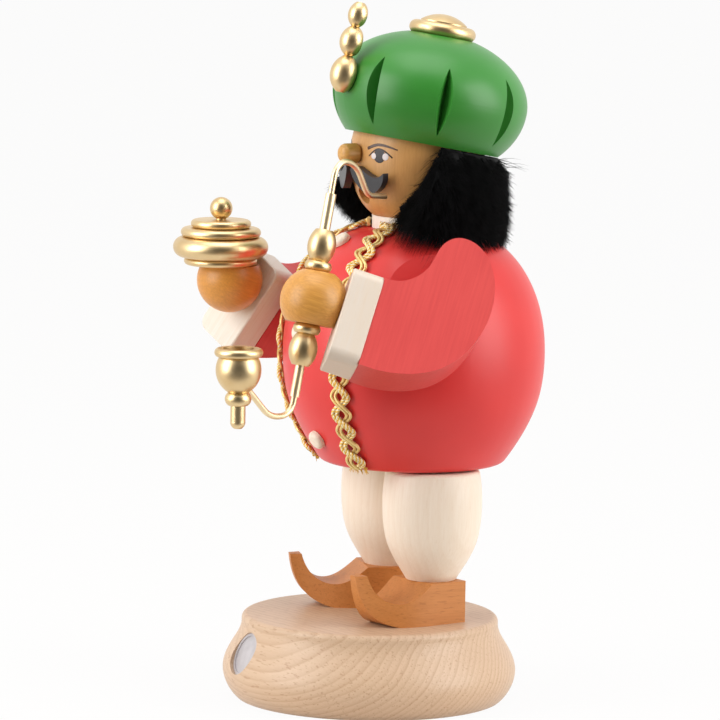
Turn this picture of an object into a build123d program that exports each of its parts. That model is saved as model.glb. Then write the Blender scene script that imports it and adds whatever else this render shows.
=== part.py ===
from build123d import *
from math import cos, radians, sin, sqrt
import os

# Turned and sawn incense smoker: a stout figure on a round base, which breathes smoke
# from its mouth. Millimetres, +Z up. The figure faces -Y and its left hand is on +X.
# The origin is the centre of the base's underside.

# Fits
glue_gap = 0.05
seat_gap = 0.35
rest_gap = 0.6

# Base
base_height = 30.9
base_foot_radius = 49.3
base_low_radius = 53.4
base_low_height = 5.8
base_bulge_radius = 54.4
base_bulge_height = 10.8
base_shoulder_radius = 51.1
base_shoulder_height = 19.7
base_neck_radius = 48.5
base_neck_height = 24.2
base_rim_radius = 47.6
base_rim_height = 27.6
base_rim_round = 2.0
medallion_radius = 8.2
medallion_thickness = 1.4
medallion_rim = 1.0
medallion_rim_height = 0.5
medallion_height = 19.0
medallion_tilt = 22.0
medallion_depth = 3.5
medallion_axis_radius = 51.6

# Slippers
slipper_heel_height = 15.4
slipper_heel_back = 7.2
slipper_heel_front = 8.5
slipper_half_width = 11.6
slipper_sole_front = 21.0
slipper_scoop_height = 8.9
slipper_scoop_front = 20.0
slipper_toe_front = 36.4
slipper_toe_height = 19.5
slipper_toe_thickness = 4.2
slipper_toe_half_width = 1.8
slipper_splay = 13.5
right_slipper_advance = 1.7
slipper_toe_slopes = ((1, 0.2), (0.1, 1))
slipper_scoop_slopes = ((-0.25, -1), (-1, 0.85))
slipper_plan_slopes = ((1, 0), (1, -0.25))

# Legs
leg_spacing = 37.0
leg_height = 40.9
leg_radius = 18.4
leg_belly_height = 27.2
leg_calf_radius = 16.4
leg_calf_height = 13.0
leg_foot_radius = 9.3
leg_top_radius = 17.3
leg_top_round = 1.8
leg_slopes = ((0.6, 1), (-0.16, 1))
foot_dowel_radius = 3.0
foot_dowel_in_base = 14.0
foot_dowel_in_leg = 12.0
hip_dowel_radius = 4.0
hip_dowel_in_leg = 13.0
hip_dowel_in_seat = 6.0

# Seat, incense plate and its tack
figure_y = 16.0
seat_radius = 28.0
seat_thickness = 8.3
vent_radius = 2.5
vent_x = 5.0
vent_y = 17.5
plate_radius = 14.0
plate_lip = 2.0
plate_thickness = 0.6
tack_head_radius = 2.2
tack_head_height = 0.8
tack_radius = 0.8
tack_length = 5.0

# Coat body
coat_height = 86.8
coat_bottom_radius = 33.8
coat_bottom_round = 3.5
coat_low_radius = 41.0
coat_low_height = 11.0
coat_flank_radius = 46.4
coat_flank_height = 23.5
coat_belly_radius = 48.5
coat_belly_height = 38.0
coat_chest_radius = 46.8
coat_chest_height = 56.0
coat_shoulder_radius = 39.6
coat_shoulder_height = 72.3
coat_top_radius = 18.6
coat_samples = 12
chamber_radius = 24.5
chamber_roof = 58.0
chamber_roof_round = 10.0
smoke_bore_radius = 4.0
neck_radius = 8.0
neck_depth = 10.0

# Collar and head
collar_radius = 16.4
collar_height = 4.8
head_turn = 3.0
head_radius = 24.8
head_bottom_radius = 16.0
head_jaw_radius = 22.5
head_jaw_height = 8.6
head_cheek_radius = 24.1
head_cheek_height = 14.8
head_wide_height = 21.5
head_top_radius = 22.0
head_top_height = 35.0
head_crown_height = 26.3
mouth_radius = 3.5
mouth_height = 7.6
mouth_tilt = 20.0
nose_radius = 3.7
nose_length = 7.4
nose_round = 2.6
nose_back_round = 0.9
nose_height = 23.4
nose_peg_radius = 1.5
nose_peg_length = 6.0
moustache_thickness = 2.8
moustache_upper_edge = ((0.6, 3.8), (3.0, 5.0), (7.7, 3.4), (11.5, 1.8), (17.4, 3.4))
moustache_lower_edge = ((17.4, 3.4), (15.4, -2.4), (10.9, -4.5), (5.6, -2.8), (0.6, 3.8))
moustache_sweep = 18.0
moustache_height = 14.0
fur_thickness = 9.3
fur_face_angle = 41.0
left_fur_front = 6.6
left_fur_tilt = 24.0
right_fur_front = -3.2
right_fur_tilt = 60.0
fur_chin_front = 9.0
fur_chin_drop = 5.4
fur_chin_tilt = 40.0
fur_bottom_drop = 12.0
fur_gap = 1.5
fur_hem_inset = 1.5
fur_top_inset = 4.0

# Turban, its knob and its plume
turban_tilt = 10.8
turban_radius = 36.2
turban_top = 24.0
turban_bottom = 17.4
turban_bottom_curve = 28.3
turban_seat_offset = 1.6
notch_count = 8
notch_cutter_radius = 70.0
notch_half_angle = 24.0
notch_depth = 5.6
notch_drop = 2.8
notch_turn = 3.0
turban_dowel_radius = 4.0
turban_dowel_length = 20.0
knob_radius = 12.4
knob_height = 4.4
knob_shoulder_drop = 2.6
knob_cap_radius = 8.6
knob_cap_edge = 0.8
knob_cap_height = 3.8
knob_spigot_radius = 3.0
knob_spigot_length = 8.0
plume_bead_radii = (5.2, 4.5, 3.7)
plume_bead_lengths = (13.6, 10.9, 9.0)
plume_waist_radius = 1.5
plume_foot_drop = 4.6
plume_back_cut = 2.3
plume_turn = 4.0
plume_lean = 3.2
plume_pin_radius = 1.0
plume_pin_length = 9.0

# Arms
arm_normal = Vector(0.872, -0.211, 0.441).normalized()
arm_forward = Vector(-0.368, -0.877, 0.309)
arm_thickness = 20.0
shoulder_contact_radius = 43.0
shoulder_contact_height = 154.0
shoulder_flat_depth = 3.5
shoulder_disc_forward = 21.7
shoulder_disc_up = 6.2
sleeve_cuff_height = 34.6
sleeve_edge = (
    (0, 0),
    (-9.0, -2.6),
    (-14.4, -10.5),
    (-16.4, -19.0),
    (-20.5, -23.4),
    (-28.0, -23.6),
    (-36.0, -16.5),
    (-40.0, -4.0),
    (-37.8, 12.5),
    (-29.0, 26.0),
    (-15.0, 33.2),
)
right_sleeve_edge = (
    (0, 0),
    (-9.0, -1.8),
    (-15.0, -6.6),
    (-18.6, -13.6),
    (-22.8, -17.8),
    (-29.0, -18.6),
    (-36.0, -14.0),
    (-40.0, -4.0),
    (-37.8, 11.0),
    (-29.0, 22.6),
    (-15.0, 30.4),
)
right_sleeve_inset = 5.0
shoulder_dowel_radius = 3.5
shoulder_dowel_length = 22.0
cuff_length = 11.5
cuff_chamfer = 0.4
cuff_round = 4.2
cuff_overhang = 0.8
cuff_proud = 0.5
hand_radius = 12.2
hand_reach = 9.9
hand_drop = 13.5
right_arm_drop = 3.0
right_hand_raise = 2.0
hand_dowel_radius = 2.5
hand_dowel_in_hand = 7.0
hand_dowel_in_sleeve = 8.0

# Water pipe in the left hand
pipe_direction = Vector(-0.08, 0.212, 0.973).normalized()
pipe_forward = 0.75
pipe_radius = 1.95
pipe_low_radius = 1.7
pipe_bore_radius = 1.15
pipe_above_hand = 39.2
pipe_below_hand = 37.4
stem_below_hand = 34.9
pipe_ring_radius = 5.0
pipe_ring_height = 3.5
pipe_bead_radius = 5.15
pipe_bead_height = 11.6
pipe_bead_neck_radius = 3.1
hand_flat_above = 10.9
hand_flat_below = 8.3
wire_radius = 1.1
wire_in_pipe = 6.0
mouthpiece_rise = 12.6
mouthpiece_crest = 12.2
mouthpiece_fall = 22.7
mouthpiece_low = 2.8
mouthpiece_reach = 33.6
mouthpiece_end_rise = 4.2
mouthpiece_radii = (6.2, 12.5, 7.2)
mouthpiece_plan_angle = 30.0
elbow_drop = 4.0
elbow_run = 11.7
elbow_in_bowl = 4.0
elbow_below_belly = 5.0
elbow_radii = (6.4, 11.0)
bowl_reach = 27.5
bowl_rise = 22.2
bowl_radius = 8.0
bowl_height = 12.8
bowl_rim_radius = 8.7
bowl_rim_height = 3.0
bowl_neck_radius = 6.9
bowl_ring_radius = 4.75
bowl_ring_height = 4.6
bowl_stem_radius = 2.7
bowl_stem_length = 8.4
bowl_stem_bulge = 2.3
bowl_cup_radius = 5.6
bowl_cup_depth = 10.0

# Covered dish on the right hand
dish_flat_height = 5.7
dish_forward = 3.8
dish_foot_radius = 13.6
dish_foot_height = 2.8
dish_belly_radius = 17.7
dish_belly_height = 7.6
dish_step_radii = (14.9, 11.2)
dish_step_heights = (3.4, 3.0)
dish_neck_radius = 1.9
dish_knob_radius = 4.2
dish_dowel_radius = 2.0
dish_dowel_in_dish = 6.0
dish_dowel_in_hand = 8.0

# Coat trim
button_radius = 3.6
button_height = 2.4
button_round = 1.6
button_peg_radius = 1.6
button_peg_length = 7.0
button_stations = (0.12, 0.515, 0.885)
button_turns = (7.0, 5.0, -2.0)
left_braid_angle = 32.0
right_braid_angle = -30.0
braid_width = 8.6
braid_thickness = 1.1
braid_spread = 16.0
braid_bottom_height = 1.5
braid_top_height = 84.6

# Levels and places that follow from the sizes above
slipper_top = base_height + slipper_heel_height
seat_bottom = slipper_top + leg_height
seat_top = seat_bottom + seat_thickness
coat_bottom = seat_bottom + rest_gap
coat_top = coat_bottom + coat_height
head_bottom = coat_top + collar_height
leg_x = leg_spacing / 2
figure_axis = Axis((0, figure_y, 0), (0, 0, 1))
figure_section = Plane(origin=(0, figure_y, 0), x_dir=(1, 0, 0), z_dir=(0, -1, 0))
face_forward = Vector(sin(radians(head_turn)), -cos(radians(head_turn)), 0)
face_left = Vector(cos(radians(head_turn)), sin(radians(head_turn)), 0)
up = Vector(0, 0, 1)
figure_center = Vector(0, figure_y, 0)

shoulder_out = Vector(arm_normal.X, arm_normal.Y, 0).normalized()
shoulder_point = figure_center + shoulder_out * shoulder_contact_radius + up * shoulder_contact_height
forearm = (arm_forward - arm_normal * arm_forward.dot(arm_normal)).normalized()
arm_down = arm_normal.cross(forearm)
shoulder_flat = shoulder_point - arm_normal * shoulder_flat_depth
cuff_corner = (
    shoulder_flat
    + arm_normal * arm_thickness
    + forearm * shoulder_disc_forward
    + arm_down * shoulder_disc_up
)
arm_plane = Plane(origin=cuff_corner, x_dir=forearm, z_dir=arm_normal)
hand_left = (
    cuff_corner
    + forearm * (cuff_length + hand_reach)
    + arm_down * hand_drop
    - arm_normal * (arm_thickness / 2)
)
right_arm_down = Vector(-arm_down.X, arm_down.Y, arm_down.Z)
right_arm_shift = right_arm_down * right_arm_drop
right_hand_in_arm = hand_left - arm_down * right_hand_raise
hand_right = Vector(-right_hand_in_arm.X, right_hand_in_arm.Y, right_hand_in_arm.Z) + right_arm_shift
dish_bottom = hand_right.Z + dish_flat_height

pipe_center = hand_left - Vector(0, pipe_forward, 0)
pipe_plan = Vector(-pipe_direction.X, -pipe_direction.Y, 0).normalized()
pipe_across = (pipe_plan - pipe_direction * pipe_plan.dot(pipe_direction)).normalized()
pipe_section = Plane(origin=pipe_center, x_dir=pipe_across, z_dir=pipe_across.cross(pipe_direction))
pipe_cross_plane = Plane(origin=pipe_center, x_dir=pipe_across, z_dir=pipe_direction)
pipe_axis = Axis(pipe_center, pipe_direction)
pipe_top = pipe_center + pipe_direction * pipe_above_hand
pipe_foot = pipe_center - pipe_direction * pipe_below_hand
bowl_place = pipe_foot + pipe_plan * bowl_reach

turban_lean = (up * cos(radians(turban_tilt)) - face_forward * sin(radians(turban_tilt))).normalized()
turban_front = (face_forward * cos(radians(turban_tilt)) + up * sin(radians(turban_tilt))).normalized()
turban_foot = figure_center + up * (head_bottom + head_crown_height) - face_forward * turban_seat_offset
turban_center = turban_foot + turban_lean * turban_bottom
turban_section = Plane(origin=turban_center, x_dir=turban_front, z_dir=turban_front.cross(turban_lean))
turban_axis = Axis(turban_center, turban_lean)


# Half outline of the coat body, radius against height, from its bottom edge up to the collar
with BuildLine() as coat_profile:
    Spline(
        (coat_bottom_radius, coat_bottom),
        (coat_low_radius, coat_bottom + coat_low_height),
        (coat_flank_radius, coat_bottom + coat_flank_height),
        (coat_belly_radius, coat_bottom + coat_belly_height),
        (coat_chest_radius, coat_bottom + coat_chest_height),
        (coat_shoulder_radius, coat_bottom + coat_shoulder_height),
        (coat_top_radius, coat_top),
    )
coat_curve = coat_profile.edge()


def coat_face(grow):
    # Half section of the solid coat, grown outwards along the outline's normals.
    outline = []
    for index in range(coat_samples + 1):
        spot = coat_curve @ (index / coat_samples)
        slope = coat_curve % (index / coat_samples)
        outline.append((spot.X + slope.Y * grow, spot.Y - slope.X * grow))
    with BuildSketch() as half:
        with BuildLine():
            Spline(*outline)
            Polyline(outline[-1], (0, outline[-1][1]), (0, outline[0][1]), outline[0])
        make_face()
    return half.sketch


def head_outline(grow):
    # Half outline of the head, from its flat bottom round the jaw and cheeks to the crown.
    Spline(
        (head_bottom_radius + grow, head_bottom),
        (head_jaw_radius + grow, head_bottom + head_jaw_height),
        (head_cheek_radius + grow, head_bottom + head_cheek_height),
        (head_radius + grow, head_bottom + head_wide_height),
        (head_top_radius + grow, head_bottom + head_top_height),
    )
    Polyline(
        (head_top_radius + grow, head_bottom + head_top_height),
        (0, head_bottom + head_top_height),
        (0, head_bottom),
        (head_bottom_radius + grow, head_bottom),
    )


def dowel(place, direction, radius, length):
    # Round dowel that starts at the place and runs along the direction.
    with BuildPart() as rod:
        with BuildSketch(Plane(origin=place, z_dir=direction)):
            Circle(radius)
        extrude(amount=length)
    return rod.part


def mirrored(piece, middle=Plane.YZ):
    # The same piece on the other side of the middle plane.
    with BuildPart() as twin:
        add(piece)
        mirror(about=middle, mode=Mode.REPLACE)
    return twin.part


os.makedirs("parts", exist_ok=True)

# Places of the dowels
foot_dowel_places = [Vector(side * leg_x, figure_y, base_height - foot_dowel_in_base) for side in (1, -1)]
foot_dowel_length = foot_dowel_in_base + slipper_heel_height + foot_dowel_in_leg
hip_dowel_places = [Vector(side * leg_x, figure_y, seat_bottom - hip_dowel_in_leg) for side in (1, -1)]
hip_dowel_length = hip_dowel_in_leg + hip_dowel_in_seat
shoulder_dowel_place = shoulder_flat + arm_normal * (shoulder_dowel_length / 2)
hand_dowel_length = hand_dowel_in_hand + cuff_length + hand_dowel_in_sleeve

# Base: ogee edge, two dowel holes and a slanted counterbore for the medallion
medallion_out = Vector(0, -cos(radians(medallion_tilt)), sin(radians(medallion_tilt)))
medallion_floor = Vector(0, -medallion_axis_radius, medallion_height) - medallion_out * medallion_depth
with BuildPart() as base:
    with BuildSketch(Plane.XZ):
        with BuildLine():
            Line((0, 0), (base_foot_radius, 0))
            Spline(
                (base_foot_radius, 0),
                (base_low_radius, base_low_height),
                (base_bulge_radius, base_bulge_height),
                (base_shoulder_radius, base_shoulder_height),
                (base_neck_radius, base_neck_height),
                (base_rim_radius, base_rim_height),
            )
            Line((base_rim_radius, base_rim_height), (base_rim_radius, base_height))
            Line((base_rim_radius, base_height), (0, base_height))
            Line((0, base_height), (0, 0))
        make_face()
    revolve(axis=Axis.Z)
    fillet(base.faces().sort_by(Axis.Z)[-1].edges(), base_rim_round)
    with Locations([(place.X, place.Y, base_height) for place in foot_dowel_places]):
        Hole(foot_dowel_radius + glue_gap, foot_dowel_in_base + glue_gap)
    with BuildSketch(Plane(origin=medallion_floor, z_dir=medallion_out)):
        Circle(medallion_radius + glue_gap)
    extrude(amount=medallion_radius * 2, mode=Mode.SUBTRACT)
base.part.label = "base"

# Medallion: bare disc with a plain raised rim
with BuildPart() as medallion:
    with BuildSketch(Plane(origin=medallion_floor + medallion_out * glue_gap, z_dir=medallion_out)):
        Circle(medallion_radius)
    extrude(amount=medallion_thickness)
    with BuildSketch(Plane(medallion.faces().sort_by(Axis(medallion_floor, medallion_out))[-1])):
        Circle(medallion_radius)
        Circle(medallion_radius - medallion_rim, mode=Mode.SUBTRACT)
    extrude(amount=medallion_rim_height)
medallion.part.label = "medallion"


def slipper(side, advance):
    # Sawn slipper with a scooped instep and a curled toe, splayed outwards.
    forward = Vector(side * sin(radians(slipper_splay)), -cos(radians(slipper_splay)), 0)
    ankle = Vector(side * leg_x, figure_y, base_height)
    place = ankle + forward * advance
    toe_inner = slipper_toe_front - slipper_toe_thickness
    with BuildPart() as shoe:
        with BuildSketch(Plane(origin=place, x_dir=forward, z_dir=forward.cross(up))):
            with BuildLine():
                Line((-slipper_heel_back, 0), (slipper_sole_front, 0))
                Spline(
                    (slipper_sole_front, 0),
                    (slipper_toe_front, slipper_toe_height),
                    tangents=slipper_toe_slopes,
                )
                Line((slipper_toe_front, slipper_toe_height), (toe_inner, slipper_toe_height))
                Spline(
                    (toe_inner, slipper_toe_height),
                    (slipper_scoop_front, slipper_scoop_height),
                    (slipper_heel_front, slipper_heel_height),
                    tangents=slipper_scoop_slopes,
                )
                Line((slipper_heel_front, slipper_heel_height), (-slipper_heel_back, slipper_heel_height))
                Line((-slipper_heel_back, slipper_heel_height), (-slipper_heel_back, 0))
            make_face()
        extrude(amount=slipper_half_width, both=True)
        with BuildSketch(Plane(origin=place, x_dir=forward, z_dir=up)):
            with BuildLine():
                Line((-slipper_heel_back, 0), (-slipper_heel_back, slipper_half_width))
                Line((-slipper_heel_back, slipper_half_width), (slipper_heel_front, slipper_half_width))
                Spline(
                    (slipper_heel_front, slipper_half_width),
                    (slipper_toe_front, slipper_toe_half_width),
                    tangents=slipper_plan_slopes,
                )
                Line((slipper_toe_front, slipper_toe_half_width), (slipper_toe_front, 0))
                mirror(about=Plane.XZ)
            make_face()
        extrude(amount=slipper_toe_height, mode=Mode.INTERSECT)
        with BuildSketch(Plane(origin=ankle)):
            Circle(foot_dowel_radius + glue_gap)
        extrude(amount=slipper_heel_height, mode=Mode.SUBTRACT)
    return shoe.part


def leg(side):
    # Turned barrel leg with dowel holes in both ends.
    center = Vector(side * leg_x, figure_y, 0)
    with BuildPart() as barrel:
        with BuildSketch(Plane(origin=center, x_dir=(1, 0, 0), z_dir=(0, -1, 0))):
            with BuildLine():
                Line((0, slipper_top), (leg_foot_radius, slipper_top))
                Spline(
                    (leg_foot_radius, slipper_top),
                    (leg_calf_radius, slipper_top + leg_calf_height),
                    (leg_radius, slipper_top + leg_belly_height),
                    (leg_top_radius, seat_bottom),
                    tangents=leg_slopes,
                )
                Line((leg_top_radius, seat_bottom), (0, seat_bottom))
                Line((0, seat_bottom), (0, slipper_top))
            make_face()
        revolve(axis=Axis(center, up))
        fillet(barrel.faces().sort_by(Axis.Z)[-1].edges(), leg_top_round)
        with BuildSketch(Plane(origin=center + up * slipper_top)):
            Circle(foot_dowel_radius + glue_gap)
        extrude(amount=foot_dowel_in_leg + glue_gap, mode=Mode.SUBTRACT)
        with BuildSketch(Plane(origin=center + up * seat_bottom)):
            Circle(hip_dowel_radius + glue_gap)
        extrude(amount=-(hip_dowel_in_leg + glue_gap), mode=Mode.SUBTRACT)
    return barrel.part


left_slipper = slipper(1, 0)
left_slipper.label = "left_slipper"
right_slipper = slipper(-1, right_slipper_advance)
right_slipper.label = "right_slipper"
left_leg = leg(1)
left_leg.label = "left_leg"
right_leg = leg(-1)
right_leg.label = "right_leg"

# Dowels from the base through the slippers into the legs, and from the legs into the seat
with BuildPart() as foot_dowels:
    for place in foot_dowel_places:
        add(dowel(place, up, foot_dowel_radius, foot_dowel_length))
foot_dowels.part.label = "foot_dowels"
with BuildPart() as hip_dowels:
    for place in hip_dowel_places:
        add(dowel(place, up, hip_dowel_radius, hip_dowel_length))
hip_dowels.part.label = "hip_dowels"

# Seat disc: the coat body is set over it, and air comes up through its vents
with BuildPart() as seat_disc:
    with BuildSketch(Plane(origin=figure_center + up * seat_bottom)):
        Circle(seat_radius)
        with GridLocations(2 * vent_x, 2 * vent_y, 2, 2):
            Circle(vent_radius, mode=Mode.SUBTRACT)
    extrude(amount=seat_thickness)
    with Locations([(place.X, place.Y, seat_bottom) for place in hip_dowel_places]):
        Cylinder(
            hip_dowel_radius + glue_gap,
            hip_dowel_in_seat + glue_gap,
            align=(Align.CENTER, Align.CENTER, Align.MIN),
            mode=Mode.SUBTRACT,
        )
    with Locations((0, figure_y, seat_top)):
        Hole(tack_radius + glue_gap, tack_length)
seat_disc.part.label = "seat_disc"

# Incense plate: shallow tin dish under the cone, held by one tack
plate_bottom = seat_top + glue_gap
plate_floor = plate_bottom + plate_thickness
with BuildPart() as incense_plate:
    with BuildSketch(Plane(origin=figure_center + up * plate_bottom)):
        Circle(plate_radius)
    extrude(amount=plate_lip)
    with BuildSketch(Plane(origin=figure_center + up * plate_floor)):
        Circle(plate_radius - plate_thickness)
    extrude(amount=plate_lip, mode=Mode.SUBTRACT)
    with Locations((0, figure_y, plate_floor)):
        Hole(tack_radius + glue_gap, plate_thickness)
incense_plate.part.label = "incense_plate"
with BuildPart() as plate_tack:
    with BuildSketch(Plane(origin=figure_center + up * (plate_floor + glue_gap))):
        Circle(tack_head_radius)
    extrude(amount=tack_head_height)
    with BuildSketch(Plane(origin=figure_center + up * (plate_floor + glue_gap))):
        Circle(tack_radius)
    extrude(amount=-(tack_length - glue_gap))
plate_tack.part.label = "plate_tack"

# Coat body: hollow turned shell with a seat at the bottom, a smoke chamber and a neck bore
chamber_top = coat_bottom + chamber_roof
button_places = []
for station, turn in zip(button_stations, button_turns):
    spot = coat_curve @ station
    slope = coat_curve % station
    button_front = Vector(sin(radians(turn)), -cos(radians(turn)), 0)
    button_place = figure_center + button_front * spot.X + up * spot.Y
    button_places.append((button_place, button_front * slope.Y - up * slope.X))
with BuildPart() as coat_body:
    with BuildSketch(figure_section):
        add(coat_face(0))
    revolve(axis=figure_axis)
    fillet(coat_body.faces().sort_by(Axis.Z)[0].edges(), coat_bottom_round)
    with BuildSketch(Plane(origin=figure_center + up * coat_bottom)):
        Circle(seat_radius + seat_gap)
    extrude(amount=seat_top - coat_bottom, mode=Mode.SUBTRACT)
    with BuildSketch(figure_section):
        with BuildLine():
            Polyline(
                (0, seat_top),
                (chamber_radius, seat_top),
                (chamber_radius, chamber_top - chamber_roof_round),
            )
            RadiusArc(
                (chamber_radius, chamber_top - chamber_roof_round),
                (chamber_radius - chamber_roof_round, chamber_top),
                -chamber_roof_round,
            )
            Polyline((chamber_radius - chamber_roof_round, chamber_top), (0, chamber_top), (0, seat_top))
        make_face()
    revolve(axis=figure_axis, mode=Mode.SUBTRACT)
    with Locations((0, figure_y, coat_top)):
        CounterBoreHole(
            smoke_bore_radius, neck_radius + glue_gap, neck_depth + glue_gap, coat_top - chamber_top
        )
    for side in (1, -1):
        outward = Vector(side * arm_normal.X, arm_normal.Y, arm_normal.Z)
        flat_place = Vector(side * shoulder_flat.X, shoulder_flat.Y, shoulder_flat.Z)
        with BuildSketch(Plane(origin=flat_place, z_dir=outward)):
            Circle(coat_belly_radius)
        extrude(amount=coat_belly_radius, mode=Mode.SUBTRACT)
        dowel_place = flat_place if side == 1 else flat_place + right_arm_shift
        with BuildSketch(Plane(origin=dowel_place, z_dir=outward)):
            Circle(shoulder_dowel_radius + glue_gap)
        extrude(amount=-(shoulder_dowel_length / 2 + glue_gap), mode=Mode.SUBTRACT)
    for place, outward in button_places:
        with BuildSketch(Plane(origin=place + outward * button_height, z_dir=outward)):
            Circle(button_peg_radius + glue_gap)
        extrude(amount=-(button_height + button_peg_length + glue_gap), mode=Mode.SUBTRACT)
coat_body.part.label = "coat_body"

# Collar: plain pale ring between the coat and the head
with BuildPart() as collar:
    with BuildSketch(Plane(origin=figure_center + up * (coat_top + glue_gap))):
        Circle(collar_radius)
        Circle(neck_radius + glue_gap, mode=Mode.SUBTRACT)
    extrude(amount=collar_height - 2 * glue_gap)
collar.part.label = "collar"

# Head: turned, with a neck tenon, a smoke bore and a round mouth, and a slanted crown
mouth_out = face_forward * cos(radians(mouth_tilt)) - up * sin(radians(mouth_tilt))
mouth_rise = head_jaw_radius * sin(radians(mouth_tilt)) / cos(radians(mouth_tilt))
mouth_inner = figure_center + up * (head_bottom + mouth_height + mouth_rise)
nose_place = figure_center + face_forward * (head_radius + glue_gap) + up * (head_bottom + nose_height)
crown_top = head_bottom + head_crown_height + head_radius
with BuildPart() as head:
    with BuildSketch(figure_section):
        with BuildLine():
            head_outline(0)
        make_face()
    revolve(axis=figure_axis)
    with BuildSketch(Plane(origin=turban_foot, z_dir=turban_lean)):
        Circle(turban_radius * 2)
    extrude(amount=crown_top, mode=Mode.SUBTRACT)
    with BuildSketch(Plane(origin=figure_center + up * head_bottom)):
        Circle(neck_radius)
    extrude(amount=-(collar_height + neck_depth))
    with BuildSketch(Plane(origin=figure_center + up * (coat_top - neck_depth))):
        Circle(smoke_bore_radius)
    extrude(amount=mouth_inner.Z + mouth_radius - coat_top + neck_depth, mode=Mode.SUBTRACT)
    with BuildSketch(Plane(origin=mouth_inner, z_dir=mouth_out)):
        Circle(mouth_radius)
    extrude(amount=2 * head_radius, mode=Mode.SUBTRACT)
    with BuildSketch(Plane(origin=nose_place, z_dir=face_forward)):
        Circle(nose_peg_radius + glue_gap)
    extrude(amount=-(nose_peg_length + 2 * glue_gap), mode=Mode.SUBTRACT)
    with BuildSketch(Plane(origin=turban_foot, z_dir=turban_lean)):
        Circle(turban_dowel_radius + glue_gap)
    extrude(amount=-(turban_dowel_length / 2 + glue_gap), mode=Mode.SUBTRACT)
head.part.label = "head"

# Nose: short turned barrel with a peg
with BuildPart() as nose:
    with BuildSketch(Plane(origin=nose_place, z_dir=face_forward)):
        Circle(nose_radius)
    extrude(amount=nose_length)
    fillet(nose.faces().sort_by(Axis(nose_place, face_forward))[-1].edges(), nose_round)
    fillet(nose.faces().sort_by(Axis(nose_place, face_forward))[0].edges(), nose_back_round)
    with BuildSketch(Plane(origin=nose_place, z_dir=face_forward)):
        Circle(nose_peg_radius)
    extrude(amount=-nose_peg_length)
nose.part.label = "nose"

# Moustache: two flat comma-shaped halves, swept back from under the nose
moustache_out = face_forward * cos(radians(moustache_sweep)) + face_left * sin(radians(moustache_sweep))
moustache_along = face_left * cos(radians(moustache_sweep)) - face_forward * sin(radians(moustache_sweep))
moustache_place = (
    figure_center
    + face_forward * ((head_radius + glue_gap) / cos(radians(moustache_sweep)))
    + up * (head_bottom + moustache_height)
)
with BuildPart() as left_moustache:
    with BuildSketch(Plane(origin=moustache_place, x_dir=moustache_along, z_dir=moustache_out)):
        with BuildLine():
            Spline(*moustache_upper_edge)
            Spline(*moustache_lower_edge)
        make_face()
    extrude(amount=moustache_thickness)
left_moustache.part.label = "left_moustache"
right_moustache = mirrored(left_moustache.part, Plane(origin=figure_center, z_dir=face_left))
right_moustache.label = "right_moustache"

# Fur: thick strip of hair and beard round the back and sides of the head
fur_start = face_forward * cos(radians(fur_face_angle)) + face_left * sin(radians(fur_face_angle))
fur_radius = head_radius + fur_thickness
fur_ends = ((left_fur_front, left_fur_tilt, Align.MIN), (right_fur_front, right_fur_tilt, Align.MAX))
fur_chin = figure_center + face_forward * fur_chin_front + up * (head_bottom - fur_chin_drop)
fur_chin_out = face_forward * sin(radians(fur_chin_tilt)) - up * cos(radians(fur_chin_tilt))
with BuildPart() as fur_hair:
    with BuildSketch(Plane(origin=figure_center, x_dir=fur_start, z_dir=fur_start.cross(up))):
        with BuildLine():
            Polyline(
                (collar_radius + glue_gap, coat_top),
                (fur_radius - fur_hem_inset, head_bottom - fur_bottom_drop),
                (fur_radius, head_bottom),
                (fur_radius, head_bottom + head_cheek_height),
                (fur_radius - fur_top_inset, head_bottom + head_crown_height),
                (head_radius, crown_top),
                (collar_radius + glue_gap, crown_top),
                close=True,
            )
        make_face()
    revolve(axis=figure_axis, revolution_arc=360 - 2 * fur_face_angle)
    with BuildSketch(figure_section):
        with BuildLine():
            head_outline(glue_gap)
        make_face()
    revolve(axis=figure_axis, mode=Mode.SUBTRACT)
    with BuildSketch(figure_section):
        add(coat_face(fur_gap))
    revolve(axis=figure_axis, mode=Mode.SUBTRACT)
    with BuildSketch(Plane(origin=turban_foot - turban_lean * glue_gap, z_dir=turban_lean)):
        Circle(turban_radius * 2)
    extrude(amount=crown_top, mode=Mode.SUBTRACT)
    for front, tilt, half in fur_ends:
        temple = figure_center + face_forward * front + up * (head_bottom + head_crown_height)
        temple_out = face_forward * cos(radians(tilt)) + up * sin(radians(tilt))
        with BuildSketch(Plane(origin=temple, x_dir=face_left, z_dir=temple_out)):
            Rectangle(fur_radius * 2, fur_radius * 4, align=(half, Align.CENTER))
        extrude(amount=fur_radius * 2, mode=Mode.SUBTRACT)
    with BuildSketch(Plane(origin=fur_chin, x_dir=face_left, z_dir=fur_chin_out)):
        Rectangle(fur_radius * 4, fur_radius * 4)
    extrude(amount=fur_radius * 2, mode=Mode.SUBTRACT)
fur_hair.part.label = "fur_hair"

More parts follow.
